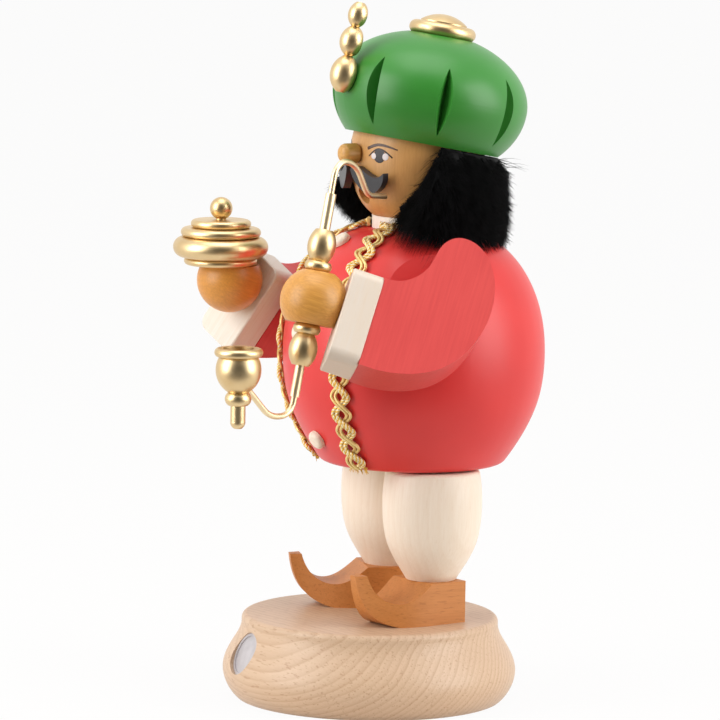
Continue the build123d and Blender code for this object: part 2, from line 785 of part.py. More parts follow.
# Turban: flattened ball with lens-shaped notches milled down its sides
turban_side = turban_lean.cross(turban_front)
knob_seat = turban_top * sqrt(1 - ((knob_radius + glue_gap) / turban_radius) ** 2)
notch_land = 3 * notch_depth
notch_land_half = notch_land * sin(radians(notch_half_angle)) / cos(radians(notch_half_angle))
plume_front = turban_front * cos(radians(plume_turn)) + turban_side * sin(radians(plume_turn))
plume_back = turban_center + plume_front * (turban_radius + glue_gap)
plume_up = turban_lean * cos(radians(plume_lean)) - plume_front * sin(radians(plume_lean))
plume_out = plume_front * cos(radians(plume_lean)) + turban_lean * sin(radians(plume_lean))
plume_place = plume_back + plume_out * plume_back_cut
plume_pin_place = plume_place + plume_up * (plume_bead_lengths[0] / 2 - plume_foot_drop)
with BuildPart() as turban:
    with BuildSketch(turban_section):
        Ellipse(turban_radius, turban_top)
        with Locations((turban_radius / 2, knob_seat / 2)):
            Rectangle(turban_radius, knob_seat, mode=Mode.INTERSECT)
    with BuildSketch(turban_section):
        Ellipse(turban_radius, turban_bottom_curve)
        with Locations((turban_radius / 2, -turban_bottom / 2)):
            Rectangle(turban_radius, turban_bottom, mode=Mode.INTERSECT)
    revolve(axis=turban_axis)
    for index in range(notch_count):
        spread = radians(360 / notch_count * (index + 0.5) + notch_turn)
        radial = turban_front * cos(spread) + turban_side * sin(spread)
        cutter_reach = turban_radius - notch_depth + notch_cutter_radius
        cutter_center = turban_center + radial * cutter_reach - turban_lean * notch_drop
        with BuildSketch(Plane(origin=cutter_center, x_dir=-radial, z_dir=-turban_lean)):
            with BuildLine():
                Polyline(
                    (notch_cutter_radius, 0),
                    (notch_cutter_radius - notch_land, notch_land_half),
                    (notch_cutter_radius - notch_land, -notch_land_half),
                    close=True,
                )
            make_face()
        revolve(axis=Axis(cutter_center, turban_lean.cross(radial)), mode=Mode.SUBTRACT)
    with BuildSketch(Plane(origin=turban_foot, z_dir=turban_lean)):
        Circle(turban_dowel_radius + glue_gap)
    extrude(amount=turban_dowel_length / 2 + glue_gap, mode=Mode.SUBTRACT)
    with BuildSketch(Plane(origin=turban_center + turban_lean * knob_seat, z_dir=turban_lean)):
        Circle(knob_spigot_radius + glue_gap)
    extrude(amount=-(knob_spigot_length + glue_gap), mode=Mode.SUBTRACT)
    with BuildSketch(Plane(origin=plume_pin_place, z_dir=-plume_out)):
        Circle(plume_pin_radius + glue_gap)
    extrude(amount=plume_pin_length + glue_gap, mode=Mode.SUBTRACT)
turban.part.label = "turban"
turban_dowel_start = turban_foot - turban_lean * (turban_dowel_length / 2)
turban_dowel = dowel(turban_dowel_start, turban_lean, turban_dowel_radius, turban_dowel_length)
turban_dowel.label = "turban_dowel"

# Knob: two stacked rounded discs on the turban's flat top
knob_bottom = knob_seat + glue_gap
knob_step = knob_bottom + knob_height
knob_edge = knob_step + knob_cap_edge
knob_top = knob_step + knob_cap_height
knob_dome_rise = knob_top - knob_edge
knob_dome_radius = (knob_cap_radius**2 + knob_dome_rise**2) / (2 * knob_dome_rise)
knob_dome_middle = knob_top - knob_dome_radius + sqrt(knob_dome_radius**2 - (knob_cap_radius / 2) ** 2)
with BuildPart() as turban_knob:
    with BuildSketch(turban_section):
        with BuildLine():
            Line((0, knob_bottom), (knob_radius - knob_height / 4, knob_bottom))
            ThreePointArc(
                (knob_radius - knob_height / 4, knob_bottom),
                (knob_radius, knob_step - knob_shoulder_drop),
                (knob_cap_radius, knob_step),
            )
            Line((knob_cap_radius, knob_step), (knob_cap_radius, knob_edge))
            ThreePointArc(
                (knob_cap_radius, knob_edge),
                (knob_cap_radius / 2, knob_dome_middle),
                (0, knob_top),
            )
            Line((0, knob_top), (0, knob_bottom))
        make_face()
    revolve(axis=turban_axis)
    with BuildSketch(Plane(origin=turban_center + turban_lean * knob_bottom, z_dir=turban_lean)):
        Circle(knob_spigot_radius)
    extrude(amount=-knob_spigot_length)
turban_knob.part.label = "turban_knob"

# Plume: three turned beads, cut flat behind, pinned to the turban's front
with BuildPart() as plume:
    with BuildSketch(Plane(origin=plume_place, x_dir=plume_out, z_dir=plume_out.cross(plume_up))):
        with BuildLine():
            level = -plume_foot_drop
            Line((0, level), (plume_waist_radius, level))
            for radius, length in zip(plume_bead_radii, plume_bead_lengths):
                ThreePointArc(
                    (plume_waist_radius, level),
                    (radius, level + length / 2),
                    (plume_waist_radius, level + length),
                )
                level += length
            Line((plume_waist_radius, level), (0, level))
            Line((0, level), (0, -plume_foot_drop))
        make_face()
    revolve(axis=Axis(plume_place, plume_up))
    with BuildSketch(Plane(origin=plume_back, z_dir=-plume_out)):
        Circle(turban_radius)
    extrude(amount=turban_radius, mode=Mode.SUBTRACT)
    with BuildSketch(Plane(origin=plume_pin_place, z_dir=-plume_out)):
        Circle(plume_pin_radius + glue_gap)
    extrude(amount=plume_pin_length, mode=Mode.SUBTRACT)
plume.part.label = "plume"
plume_pin = dowel(
    plume_pin_place - plume_out * glue_gap, -plume_out, plume_pin_radius, plume_pin_length - glue_gap
)
plume_pin.label = "plume_pin"


def hand_dowel_start(hand):
    # Place where the dowel of a hand starts, inside the hand.
    return hand - forearm * (hand_reach - hand_dowel_in_hand)


def arm_sleeve(hand, edge, inset):
    # Flat sawn board, glued and dowelled to the milled flat at the shoulder.
    with BuildPart() as board:
        with BuildSketch(arm_plane.offset(-inset)):
            with BuildLine():
                Spline(*edge, (0, sleeve_cuff_height))
                Line((0, sleeve_cuff_height), edge[0])
            make_face()
        extrude(amount=-(arm_thickness - inset - glue_gap))
        with BuildSketch(Plane(origin=shoulder_flat, z_dir=arm_normal)):
            Circle(shoulder_dowel_radius + glue_gap)
        extrude(amount=shoulder_dowel_length / 2 + glue_gap, mode=Mode.SUBTRACT)
        with BuildSketch(Plane(origin=hand_dowel_start(hand), z_dir=-forearm)):
            Circle(hand_dowel_radius + glue_gap)
        extrude(amount=hand_dowel_length + glue_gap, mode=Mode.SUBTRACT)
    return board.part


def arm_cuff(hand):
    # Pale block with rounded corners on the end of the sleeve.
    along_arm = Axis(cuff_corner, forearm)
    height = sleeve_cuff_height + 2 * cuff_overhang
    with BuildPart() as block:
        with BuildSketch(arm_plane.offset(cuff_proud)):
            with Locations((glue_gap, -cuff_overhang)):
                Rectangle(cuff_length - glue_gap, height, align=(Align.MIN, Align.MIN))
        extrude(amount=-(arm_thickness + cuff_proud - glue_gap))
        fillet(block.edges().filter_by(along_arm), cuff_round)
        chamfer(block.faces().filter_by(along_arm).edges(), cuff_chamfer)
        with BuildSketch(Plane(origin=hand_dowel_start(hand), z_dir=-forearm)):
            Circle(hand_dowel_radius + glue_gap)
        extrude(amount=hand_dowel_length, mode=Mode.SUBTRACT)
    return block.part


def arm_hand(hand):
    # Ball with a flat on the cuff and a dowel hole.
    with BuildPart() as ball:
        with Locations(hand):
            Sphere(hand_radius)
        with BuildSketch(Plane(origin=hand - forearm * (hand_reach - glue_gap), z_dir=-forearm)):
            Circle(hand_radius)
        extrude(amount=hand_radius, mode=Mode.SUBTRACT)
        with BuildSketch(Plane(origin=hand_dowel_start(hand) + forearm * glue_gap, z_dir=-forearm)):
            Circle(hand_dowel_radius + glue_gap)
        extrude(amount=hand_dowel_length, mode=Mode.SUBTRACT)
    return ball.part


def right_side(piece):
    # The same arm piece on the other side, set lower on its shoulder.
    return mirrored(piece).moved(Location(right_arm_shift))


left_sleeve = arm_sleeve(hand_left, sleeve_edge, 0)
left_sleeve.label = "left_sleeve"
right_sleeve = right_side(arm_sleeve(right_hand_in_arm, right_sleeve_edge, right_sleeve_inset))
right_sleeve.label = "right_sleeve"
left_cuff = arm_cuff(hand_left)
left_cuff.label = "left_cuff"
right_cuff = right_side(arm_cuff(right_hand_in_arm))
right_cuff.label = "right_cuff"

# Hands: the left one is drilled for the pipe, the right one is cut flat on top for the dish
with BuildPart() as left_hand:
    add(arm_hand(hand_left))
    for distance, side in ((hand_flat_above, 1), (hand_flat_below, -1)):
        flat_side = pipe_direction * side
        with BuildSketch(Plane(origin=pipe_center + flat_side * distance, z_dir=flat_side)):
            Circle(hand_radius)
        extrude(amount=hand_radius, mode=Mode.SUBTRACT)
    with BuildSketch(pipe_cross_plane):
        Circle(pipe_radius + glue_gap)
    extrude(amount=hand_radius, mode=Mode.SUBTRACT)
    with BuildSketch(pipe_cross_plane):
        Circle(pipe_low_radius + glue_gap)
    extrude(amount=-hand_radius, mode=Mode.SUBTRACT)
left_hand.part.label = "left_hand"
dish_center = Vector(hand_right.X, hand_right.Y - dish_forward, dish_bottom)
with BuildPart() as right_hand:
    add(right_side(arm_hand(right_hand_in_arm)))
    with BuildSketch(Plane(origin=(hand_right.X, hand_right.Y, dish_bottom))):
        Circle(hand_radius)
    extrude(amount=hand_radius, mode=Mode.SUBTRACT)
    with BuildSketch(Plane(origin=dish_center)):
        Circle(dish_dowel_radius + glue_gap)
    extrude(amount=-(dish_dowel_in_hand + glue_gap), mode=Mode.SUBTRACT)
right_hand.part.label = "right_hand"

# Dowels in the shoulders and through the cuffs into the hands
shoulder_dowel = dowel(shoulder_dowel_place, -arm_normal, shoulder_dowel_radius, shoulder_dowel_length)
with BuildPart() as shoulder_dowels:
    add(shoulder_dowel)
    add(right_side(shoulder_dowel))
shoulder_dowels.part.label = "shoulder_dowels"
with BuildPart() as hand_dowels:
    add(dowel(hand_dowel_start(hand_left), -forearm, hand_dowel_radius, hand_dowel_length))
    right_start = hand_dowel_start(right_hand_in_arm)
    add(right_side(dowel(right_start, -forearm, hand_dowel_radius, hand_dowel_length)))
hand_dowels.part.label = "hand_dowels"

# Covered dish: one turned piece in steps, with a ball knob, dowelled to the right hand
dish_low = dish_bottom + glue_gap
dish_section = Plane(origin=(dish_center.X, dish_center.Y, 0), x_dir=(1, 0, 0), z_dir=(0, -1, 0))


def rounded_step(radius, height, level):
    # Half-round moulding of one turned step.
    ThreePointArc(
        (radius - height / 2, level), (radius, level + height / 2), (radius - height / 2, level + height)
    )


with BuildPart() as covered_dish:
    with BuildSketch(dish_section):
        with BuildLine():
            level = dish_low
            inner = 0
            steps = [(dish_foot_radius, dish_foot_height), (dish_belly_radius, dish_belly_height)]
            steps += list(zip(dish_step_radii, dish_step_heights))
            for radius, height in steps:
                Line((inner, level), (radius - height / 2, level))
                rounded_step(radius, height, level)
                inner = radius - height / 2
                level += height
            knob_center = level + dish_knob_radius
            Line((inner, level), (dish_neck_radius, level))
            neck_meet = knob_center - sqrt(dish_knob_radius**2 - dish_neck_radius**2)
            Line((dish_neck_radius, level), (dish_neck_radius, neck_meet))
            ThreePointArc(
                (dish_neck_radius, neck_meet),
                (dish_knob_radius, knob_center),
                (0, knob_center + dish_knob_radius),
            )
            Line((0, knob_center + dish_knob_radius), (0, dish_low))
        make_face()
    revolve(axis=Axis(dish_center, up))
    with BuildSketch(Plane(origin=dish_center + up * glue_gap)):
        Circle(dish_dowel_radius + glue_gap)
    extrude(amount=dish_dowel_in_dish, mode=Mode.SUBTRACT)
covered_dish.part.label = "covered_dish"
dish_dowel = dowel(
    dish_center - up * dish_dowel_in_hand, up, dish_dowel_radius, dish_dowel_in_hand + dish_dowel_in_dish
)
dish_dowel.label = "dish_dowel"

# Pipe stem: straight tube through the left hand, thinner below it
with BuildPart() as pipe_stem:
    with BuildSketch(pipe_cross_plane):
        Circle(pipe_radius)
        Circle(pipe_bore_radius, mode=Mode.SUBTRACT)
    extrude(amount=pipe_above_hand)
    with BuildSketch(pipe_cross_plane):
        Circle(pipe_low_radius)
        Circle(pipe_bore_radius, mode=Mode.SUBTRACT)
    extrude(amount=-stem_below_hand)
pipe_stem.part.label = "pipe_stem"


def pipe_bead(start, side, stem_radius):
    # Turned bead with a ring at its hand end, threaded on the stem.
    bore = stem_radius + glue_gap
    ring_end = start + side * pipe_ring_height
    end = ring_end + side * pipe_bead_height
    rim = pipe_ring_radius - pipe_ring_height / 4
    with BuildPart() as bead:
        with BuildSketch(pipe_section):
            with BuildLine():
                Line((bore, start), (rim, start))
                ThreePointArc((rim, start), (pipe_ring_radius, (start + ring_end) / 2), (rim, ring_end))
                Line((rim, ring_end), (pipe_bead_neck_radius, ring_end))
                ThreePointArc(
                    (pipe_bead_neck_radius, ring_end),
                    (pipe_bead_radius, (ring_end + end) / 2),
                    (pipe_bead_neck_radius, end),
                )
                Line((pipe_bead_neck_radius, end), (bore, end))
                Line((bore, end), (bore, start))
            make_face()
        revolve(axis=pipe_axis)
    return bead.part


pipe_upper_bead = pipe_bead(hand_flat_above + glue_gap, 1, pipe_radius)
pipe_upper_bead.label = "pipe_upper_bead"
pipe_lower_bead = pipe_bead(-hand_flat_below - glue_gap, -1, pipe_low_radius)
pipe_lower_bead.label = "pipe_lower_bead"

# Mouthpiece: bent wire from the stem's upper end towards the mouth
mouthpiece_plan = Vector(-sin(radians(mouthpiece_plan_angle)), cos(radians(mouthpiece_plan_angle)), 0)
mouthpiece_across = (mouthpiece_plan - pipe_direction * mouthpiece_plan.dot(pipe_direction)).normalized()
mouthpiece_plane = Plane(
    origin=pipe_top, x_dir=mouthpiece_across, z_dir=mouthpiece_across.cross(pipe_direction)
)
with BuildPart() as pipe_mouthpiece:
    with BuildLine(mouthpiece_plane) as mouthpiece_path:
        FilletPolyline(
            (0, -wire_in_pipe),
            (0, mouthpiece_rise),
            (mouthpiece_crest, mouthpiece_rise),
            (mouthpiece_fall, mouthpiece_low),
            (mouthpiece_reach, mouthpiece_end_rise),
            radius=mouthpiece_radii,
        )
    with BuildSketch(Plane(origin=mouthpiece_path.line @ 0, z_dir=mouthpiece_path.line % 0)):
        Circle(wire_radius)
    sweep()
pipe_mouthpiece.part.label = "pipe_mouthpiece"

# Elbow: bent wire from the stem's lower end up into the bowl's side
elbow_plane = Plane(origin=pipe_foot, x_dir=pipe_plan, z_dir=pipe_plan.cross(up))
stem_slope = pipe_direction.dot(pipe_plan) / pipe_direction.Z
bowl_top = bowl_rise
bowl_belly = bowl_top - bowl_rim_height - bowl_height / 2
bowl_base = bowl_belly - bowl_height / 2
elbow_end = (bowl_reach - bowl_radius + elbow_in_bowl, bowl_belly - elbow_below_belly)
elbow_points = (
    (stem_slope * wire_in_pipe, wire_in_pipe),
    (-stem_slope * elbow_drop, -elbow_drop),
    (elbow_run, -elbow_drop),
    elbow_end,
)
with BuildPart() as pipe_elbow:
    with BuildLine(elbow_plane) as elbow_path:
        FilletPolyline(*elbow_points, radius=elbow_radii)
    with BuildSketch(Plane(origin=elbow_path.line @ 0, z_dir=elbow_path.line % 0)):
        Circle(wire_radius)
    sweep()
pipe_elbow.part.label = "pipe_elbow"

# Bowl: turned cup with a rim, a ring and a stub below, held by the elbow
elbow_tip = elbow_path.line @ 1
elbow_entry = elbow_path.line % 1
with BuildPart() as pipe_bowl:
    with BuildSketch(Plane(origin=bowl_place, x_dir=pipe_plan, z_dir=pipe_plan.cross(up))):
        with BuildLine():
            rim = bowl_rim_radius - bowl_rim_height / 3
            stub_low = bowl_base - bowl_ring_height - bowl_stem_length
            Line((0, stub_low), (bowl_stem_radius / 2, stub_low))
            ThreePointArc(
                (bowl_stem_radius / 2, stub_low),
                (bowl_stem_bulge, stub_low + bowl_stem_radius / 3),
                (bowl_stem_radius, stub_low + bowl_stem_radius),
            )
            Polyline(
                (bowl_stem_radius, stub_low + bowl_stem_radius),
                (bowl_stem_radius, bowl_base - bowl_ring_height),
                (bowl_ring_radius - bowl_ring_height / 4, bowl_base - bowl_ring_height),
            )
            ThreePointArc(
                (bowl_ring_radius - bowl_ring_height / 4, bowl_base - bowl_ring_height),
                (bowl_ring_radius, bowl_base - bowl_ring_height / 2),
                (bowl_ring_radius - bowl_ring_height / 4, bowl_base),
            )
            ThreePointArc(
                (bowl_ring_radius - bowl_ring_height / 4, bowl_base),
                (bowl_radius, bowl_belly),
                (bowl_neck_radius, bowl_top - bowl_rim_height),
            )
            Line((bowl_neck_radius, bowl_top - bowl_rim_height), (rim, bowl_top - bowl_rim_height))
            ThreePointArc(
                (rim, bowl_top - bowl_rim_height),
                (bowl_rim_radius, bowl_top - bowl_rim_height / 2),
                (rim, bowl_top),
            )
            Polyline(
                (rim, bowl_top),
                (bowl_cup_radius, bowl_top),
                (bowl_cup_radius, bowl_top - bowl_cup_depth),
                (0, bowl_top - bowl_cup_depth),
                (0, stub_low),
            )
        make_face()
    revolve(axis=Axis(bowl_place, up))
    add(
        dowel(elbow_tip + elbow_entry * glue_gap, -elbow_entry, wire_radius + glue_gap, bowl_radius),
        mode=Mode.SUBTRACT,
    )
pipe_bowl.part.label = "pipe_bowl"


def coat_button(place, outward):
    # Rounded button with a peg.
    with BuildPart() as button:
        with BuildSketch(Plane(origin=place + outward * glue_gap, z_dir=outward)):
            Circle(button_radius)
        extrude(amount=button_height)
        fillet(button.faces().sort_by(Axis(place, outward))[-1].edges(), button_round)
        with BuildSketch(Plane(origin=place + outward * glue_gap, z_dir=outward)):
            Circle(button_peg_radius)
        extrude(amount=-button_peg_length)
    return button.part


# Buttons: rounded pegs down the coat's front
with BuildPart() as coat_buttons:
    for place, outward in button_places:
        add(coat_button(place, outward))
coat_buttons.part.label = "coat_buttons"


def braid(turn):
    # Gimp braid glued down the coat beside the buttons.
    middle = Vector(sin(radians(turn)), -cos(radians(turn)), 0)
    first = Vector(sin(radians(turn - braid_spread)), -cos(radians(turn - braid_spread)), 0)
    section = Plane(origin=figure_center, x_dir=first, z_dir=first.cross(up))
    with BuildPart() as strip:
        with BuildSketch(section):
            add(coat_face(glue_gap + braid_thickness))
            with Locations((0, coat_bottom + braid_bottom_height)):
                Rectangle(
                    2 * coat_belly_radius,
                    braid_top_height - braid_bottom_height,
                    align=(Align.MIN, Align.MIN),
                    mode=Mode.INTERSECT,
                )
            add(coat_face(glue_gap), mode=Mode.SUBTRACT)
        revolve(axis=figure_axis, revolution_arc=2 * braid_spread)
        with BuildSketch(Plane(origin=figure_center, x_dir=middle, z_dir=up)):
            Rectangle(2 * coat_belly_radius, braid_width, align=(Align.MIN, Align.CENTER))
        extrude(amount=coat_top, mode=Mode.INTERSECT)
    return strip.part


left_braid = braid(left_braid_angle)
left_braid.label = "left_braid"
right_braid = braid(right_braid_angle)
right_braid.label = "right_braid"

for piece in (
    base.part, medallion.part, left_slipper, right_slipper, left_leg, right_leg, foot_dowels.part,
    hip_dowels.part, seat_disc.part, incense_plate.part, plate_tack.part, coat_body.part, collar.part,
    head.part, nose.part, left_moustache.part, right_moustache, fur_hair.part, turban.part, turban_dowel,
    turban_knob.part, plume.part, plume_pin, left_sleeve, right_sleeve, left_cuff, right_cuff,
    left_hand.part, right_hand.part, shoulder_dowels.part, hand_dowels.part, covered_dish.part, dish_dowel,
    pipe_stem.part, pipe_upper_bead, pipe_lower_bead, pipe_mouthpiece.part, pipe_elbow.part, pipe_bowl.part,
    coat_buttons.part, left_braid, right_braid,
):
    export_step(piece, f"parts/{piece.label}.step")
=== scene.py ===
import random
from math import cos, pi, radians, sin, tau

import bmesh
import bpy
from mathutils import Matrix, Vector, noise
from mathutils.bvhtree import BVHTree


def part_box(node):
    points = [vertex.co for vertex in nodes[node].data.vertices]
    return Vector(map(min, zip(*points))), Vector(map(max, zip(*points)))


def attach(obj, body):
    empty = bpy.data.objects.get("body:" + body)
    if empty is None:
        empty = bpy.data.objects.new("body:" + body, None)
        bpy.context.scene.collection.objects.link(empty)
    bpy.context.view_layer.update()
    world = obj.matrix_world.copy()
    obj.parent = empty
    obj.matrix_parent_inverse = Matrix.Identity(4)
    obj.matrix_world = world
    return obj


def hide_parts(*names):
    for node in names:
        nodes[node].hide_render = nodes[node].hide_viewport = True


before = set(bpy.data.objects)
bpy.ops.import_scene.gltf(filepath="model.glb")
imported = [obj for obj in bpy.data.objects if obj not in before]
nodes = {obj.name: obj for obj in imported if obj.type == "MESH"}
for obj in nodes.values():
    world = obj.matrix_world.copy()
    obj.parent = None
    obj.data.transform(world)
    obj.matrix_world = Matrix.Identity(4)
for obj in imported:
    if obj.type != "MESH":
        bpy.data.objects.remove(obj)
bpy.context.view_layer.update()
mm = 0.001
zUp = Vector((0, 0, 1))
print("frame:", len(nodes), "nodes")


# The view of the photograph

view = {"azimuth": 65.5, "elevation": 7.5, "roll": 1.0, "distance": 2.0, "lens": 270.3, "sensor": 36,
        "clipEnd": 50, "target": (-5.501 * mm, -3.321 * mm, 125.213 * mm)}
azimuth, elevation, roll = (radians(view[key]) for key in ("azimuth", "elevation", "roll"))
toCamera = Vector((sin(azimuth) * cos(elevation), -cos(azimuth) * cos(elevation), sin(elevation)))
imageRight = Vector((cos(azimuth), sin(azimuth), 0))
imageUp = toCamera.cross(imageRight)
rolledRight = imageRight * cos(roll) + imageUp * sin(roll)
rolledUp = imageUp * cos(roll) - imageRight * sin(roll)
target = Vector(view["target"])
camera = bpy.data.objects.new("camera", bpy.data.cameras.new("camera"))
camera.data.lens = view["lens"]
camera.data.sensor_width = view["sensor"]
camera.data.clip_end = view["clipEnd"]
turn = Matrix((rolledRight, rolledUp, toCamera)).transposed().to_4x4()
camera.matrix_world = Matrix.Translation(target + toCamera * view["distance"]) @ turn
bpy.context.collection.objects.link(camera)
scene = bpy.context.scene
scene.camera = camera
scene.view_settings.view_transform = "Standard"


# Short ways to lay shader nodes

def plug(tree, socket, value):
    # links a socket to another one, or gives it a plain value
    if isinstance(value, bpy.types.NodeSocket):
        tree.links.new(value, socket)
    else:
        socket.default_value = value


def addNode(tree, kind, inputs=None, **settings):
    node = tree.nodes.new("ShaderNode" + kind)
    for key, value in settings.items():
        setattr(node, key, value)
    for key, value in (inputs or {}).items():
        plug(tree, node.inputs[key], value)
    return node


def mathNode(tree, operation, *values):
    return addNode(tree, "Math", dict(enumerate(values)), operation=operation).outputs[0]


def vectorMath(tree, operation, *values):
    node = addNode(tree, "VectorMath", dict(enumerate(values)), operation=operation)
    return node.outputs["Value" if operation in ("DOT_PRODUCT", "LENGTH") else "Vector"]


def remap(tree, value, start, end, low=0.0, high=1.0, blend="LINEAR"):
    # low up to start, high from end on
    steps = {0: value, 1: start, 2: end, 3: low, 4: high}
    return addNode(tree, "MapRange", steps, interpolation_type=blend).outputs[0]


def blendColor(tree, factor, first, second):
    node = addNode(tree, "Mix", {0: factor}, data_type="RGBA")
    for index, color in ((6, first), (7, second)):  # the node's colour sockets
        plug(tree, node.inputs[index], (*color, 1) if isinstance(color, tuple) else color)
    return node.outputs[2]


# The studio round the object

studio = {"room": 0.62, "white": 1.0, "front": 0.03, "frontEdge": (0.52, 0.87),
          "paperColor": (0.72, 0.66, 0.60), "paperGlow": 0.94, "paperRoughness": 0.9, "paperEdge": (0.11, 0.30),
          "tableColor": (0.09, 0.085, 0.08), "floorSize": 9.0, "floorSegments": 64}
softboxes = {"leftBox": {"right": -0.95, "near": 0.45, "up": 0.30, "size": (0.7, 1.1), "power": 10.6},
             "rightBox": {"right": 1.0, "near": 0.40, "up": 0.25, "size": (0.7, 1.1), "power": 10.6},
             "topBox": {"right": 0.0, "near": 0.10, "up": 1.25, "size": (0.9, 0.9), "power": 6.7}}


def seenWhite(tree, mirrored):
    # 1 where the backdrop shows as white: to the camera, through glass, and in mirrors as far as given
    path = addNode(tree, "LightPath").outputs
    glossy = mathNode(tree, "MULTIPLY", path["Is Glossy Ray"], mirrored)
    direct = mathNode(tree, "MAXIMUM", path["Is Camera Ray"], glossy)
    return mathNode(tree, "MAXIMUM", direct, path["Is Transmission Ray"])


# a white room; mirrors and lighting find it dark round the camera
world = bpy.data.worlds.new("studio")
scene.world = world
world.use_nodes = True
tree = world.node_tree
looking = vectorMath(tree, "DOT_PRODUCT", addNode(tree, "TexCoord").outputs["Generated"], toCamera)
walls = remap(tree, seenWhite(tree, 1.0), 0.0, 1.0, studio["room"], studio["white"])
dark = remap(tree, looking, *studio["frontEdge"], walls, studio["front"], "SMOOTHSTEP")
shown = mathNode(tree, "MAXIMUM", dark, addNode(tree, "LightPath").outputs["Is Camera Ray"])
tree.links.new(shown, tree.nodes["Background"].inputs["Strength"])
tree.nodes["Background"].inputs["Color"].default_value = (1, 1, 1, 1)

for name, box in softboxes.items():
    lamp = bpy.data.lights.new(name, "AREA")
    lamp.shape = "RECTANGLE"
    lamp.size, lamp.size_y = box["size"]
    lamp.energy = box["power"]
    holder = bpy.data.objects.new(name, lamp)
    holder.location = target + imageRight * box["right"] + toCamera * box["near"] + zUp * box["up"]
    holder.rotation_euler = (target - holder.location).to_track_quat("-Z", "Y").to_euler()
    bpy.context.collection.objects.link(holder)

# white paper under and behind the object; short of the camera it gives way to the darker table top
mesh = bpy.data.meshes.new("floor")
bm = bmesh.new()
bmesh.ops.create_circle(bm, cap_ends=True, segments=studio["floorSegments"], radius=studio["floorSize"])
bm.to_mesh(mesh)
bm.free()
floor = bpy.data.objects.new("floor", mesh)
bpy.context.collection.objects.link(floor)
paper = bpy.data.materials.new("whitePaper")
paper.use_nodes = True
tree = paper.node_tree
sheet = tree.nodes["Principled BSDF"]
sheet.inputs["Roughness"].default_value = studio["paperRoughness"]
nearer = vectorMath(tree, "DOT_PRODUCT", addNode(tree, "NewGeometry").outputs["Position"], zUp.cross(-imageRight))
onPaper = remap(tree, nearer, *studio["paperEdge"], 1.0, 0.0, "SMOOTHSTEP")
tree.links.new(blendColor(tree, onPaper, studio["tableColor"], studio["paperColor"]), sheet.inputs["Base Color"])
glowing = mathNode(tree, "MULTIPLY", seenWhite(tree, onPaper), studio["paperGlow"])
lit = addNode(tree, "MixShader", {0: glowing, 1: sheet.outputs[0], 2: addNode(tree, "Emission").outputs[0]})
tree.links.new(lit.outputs[0], tree.nodes["Material Output"].inputs["Surface"])
floor.data.materials.append(paper)
print("studio ready")


# Effects that several finishes share

def newGroup(name, inputs, outputs):
    group = bpy.data.node_groups.new(name, "ShaderNodeTree")
    for label, value in inputs.items():
        kind = "NodeSocketVector" if value is None else "NodeSocketFloat"
        socket = group.interface.new_socket(label, in_out="INPUT", socket_type=kind)
        if value is not None:
            socket.default_value = value
    for label in outputs:
        group.interface.new_socket(label, in_out="OUTPUT", socket_type="NodeSocketFloat")
    return group, group.nodes.new("NodeGroupInput").outputs, group.nodes.new("NodeGroupOutput").inputs


def stretched(tree, vector, across, along):
    # lengthens a pattern along the grain, which is the vector's Z
    return vectorMath(tree, "MULTIPLY", vector, (across, across, along))


def speckle(tree, vector, size, along, look):
    # noise of the given size, drawn out along the grain
    drawn = addNode(tree, "VectorMath", {0: stretched(tree, vector, 1.0, along),
                                         "Scale": mathNode(tree, "DIVIDE", 1.0, size)}, operation="SCALE")
    return addNode(tree, "TexNoise", {"Vector": drawn.outputs[0], "Scale": 1.0, **look}).outputs[0]


# Rings, fibres and ray flecks of wood whose grain runs along the vector's Z
woodPattern = {"wander": (38, 9), "wanderDetail": 2.0, "ringRise": 2.5, "ringFall": 0.86, "faintRing": 0.45,
               "fibreStretch": 0.045, "fibreNoise": {"Detail": 3.0, "Roughness": 0.65}, "fibreHeight": 0.5,
               "fleckStretch": 0.16, "fleckNoise": {"Detail": 1.0}, "fleckEdge": (0.60, 0.70), "fleckDepth": 0.4}
woodGroup, given, made = newGroup(
    "woodFigure",
    {"Vector": None, "Ring Spacing": 0.003, "Ring Warp": 0.004, "Fibre Size": 0.0006, "Fleck Size": 0.0011},
    ("Rings", "Fibre", "Flecks", "Height"))
tree = woodGroup
wander = addNode(tree, "TexNoise", {"Vector": stretched(tree, given["Vector"], *woodPattern["wander"]),
                                    "Scale": 1.0, "Detail": woodPattern["wanderDetail"]}).outputs[0]
radius = vectorMath(tree, "LENGTH", vectorMath(tree, "MULTIPLY", given["Vector"], (1, 1, 0)))
shifted = mathNode(tree, "ADD", radius, mathNode(tree, "MULTIPLY", wander, given["Ring Warp"]))
ringCount = mathNode(tree, "DIVIDE", shifted, given["Ring Spacing"])
within = mathNode(tree, "FRACT", ringCount)
rise = mathNode(tree, "POWER", within, woodPattern["ringRise"])
fall = remap(tree, within, woodPattern["ringFall"], 1.0, 1.0, 0.0)
ringNumber = mathNode(tree, "FLOOR", ringCount)
chance = addNode(tree, "TexWhiteNoise", {"W": ringNumber}, noise_dimensions="1D").outputs[0]
strength = remap(tree, chance, 0.0, 1.0, woodPattern["faintRing"], 1.0)
rings = mathNode(tree, "MULTIPLY", mathNode(tree, "MULTIPLY", rise, fall), strength)
fibre = speckle(tree, given["Vector"], given["Fibre Size"], woodPattern["fibreStretch"], woodPattern["fibreNoise"])
spots = speckle(tree, given["Vector"], given["Fleck Size"], woodPattern["fleckStretch"], woodPattern["fleckNoise"])
flecks = remap(tree, spots, *woodPattern["fleckEdge"])
height = mathNode(tree, "SUBTRACT", mathNode(tree, "MULTIPLY", fibre, woodPattern["fibreHeight"]),
                  mathNode(tree, "MULTIPLY", flecks, woodPattern["fleckDepth"]))
for label, value in (("Rings", rings), ("Fibre", fibre), ("Flecks", flecks), ("Height", height)):
    tree.links.new(value, made[label])

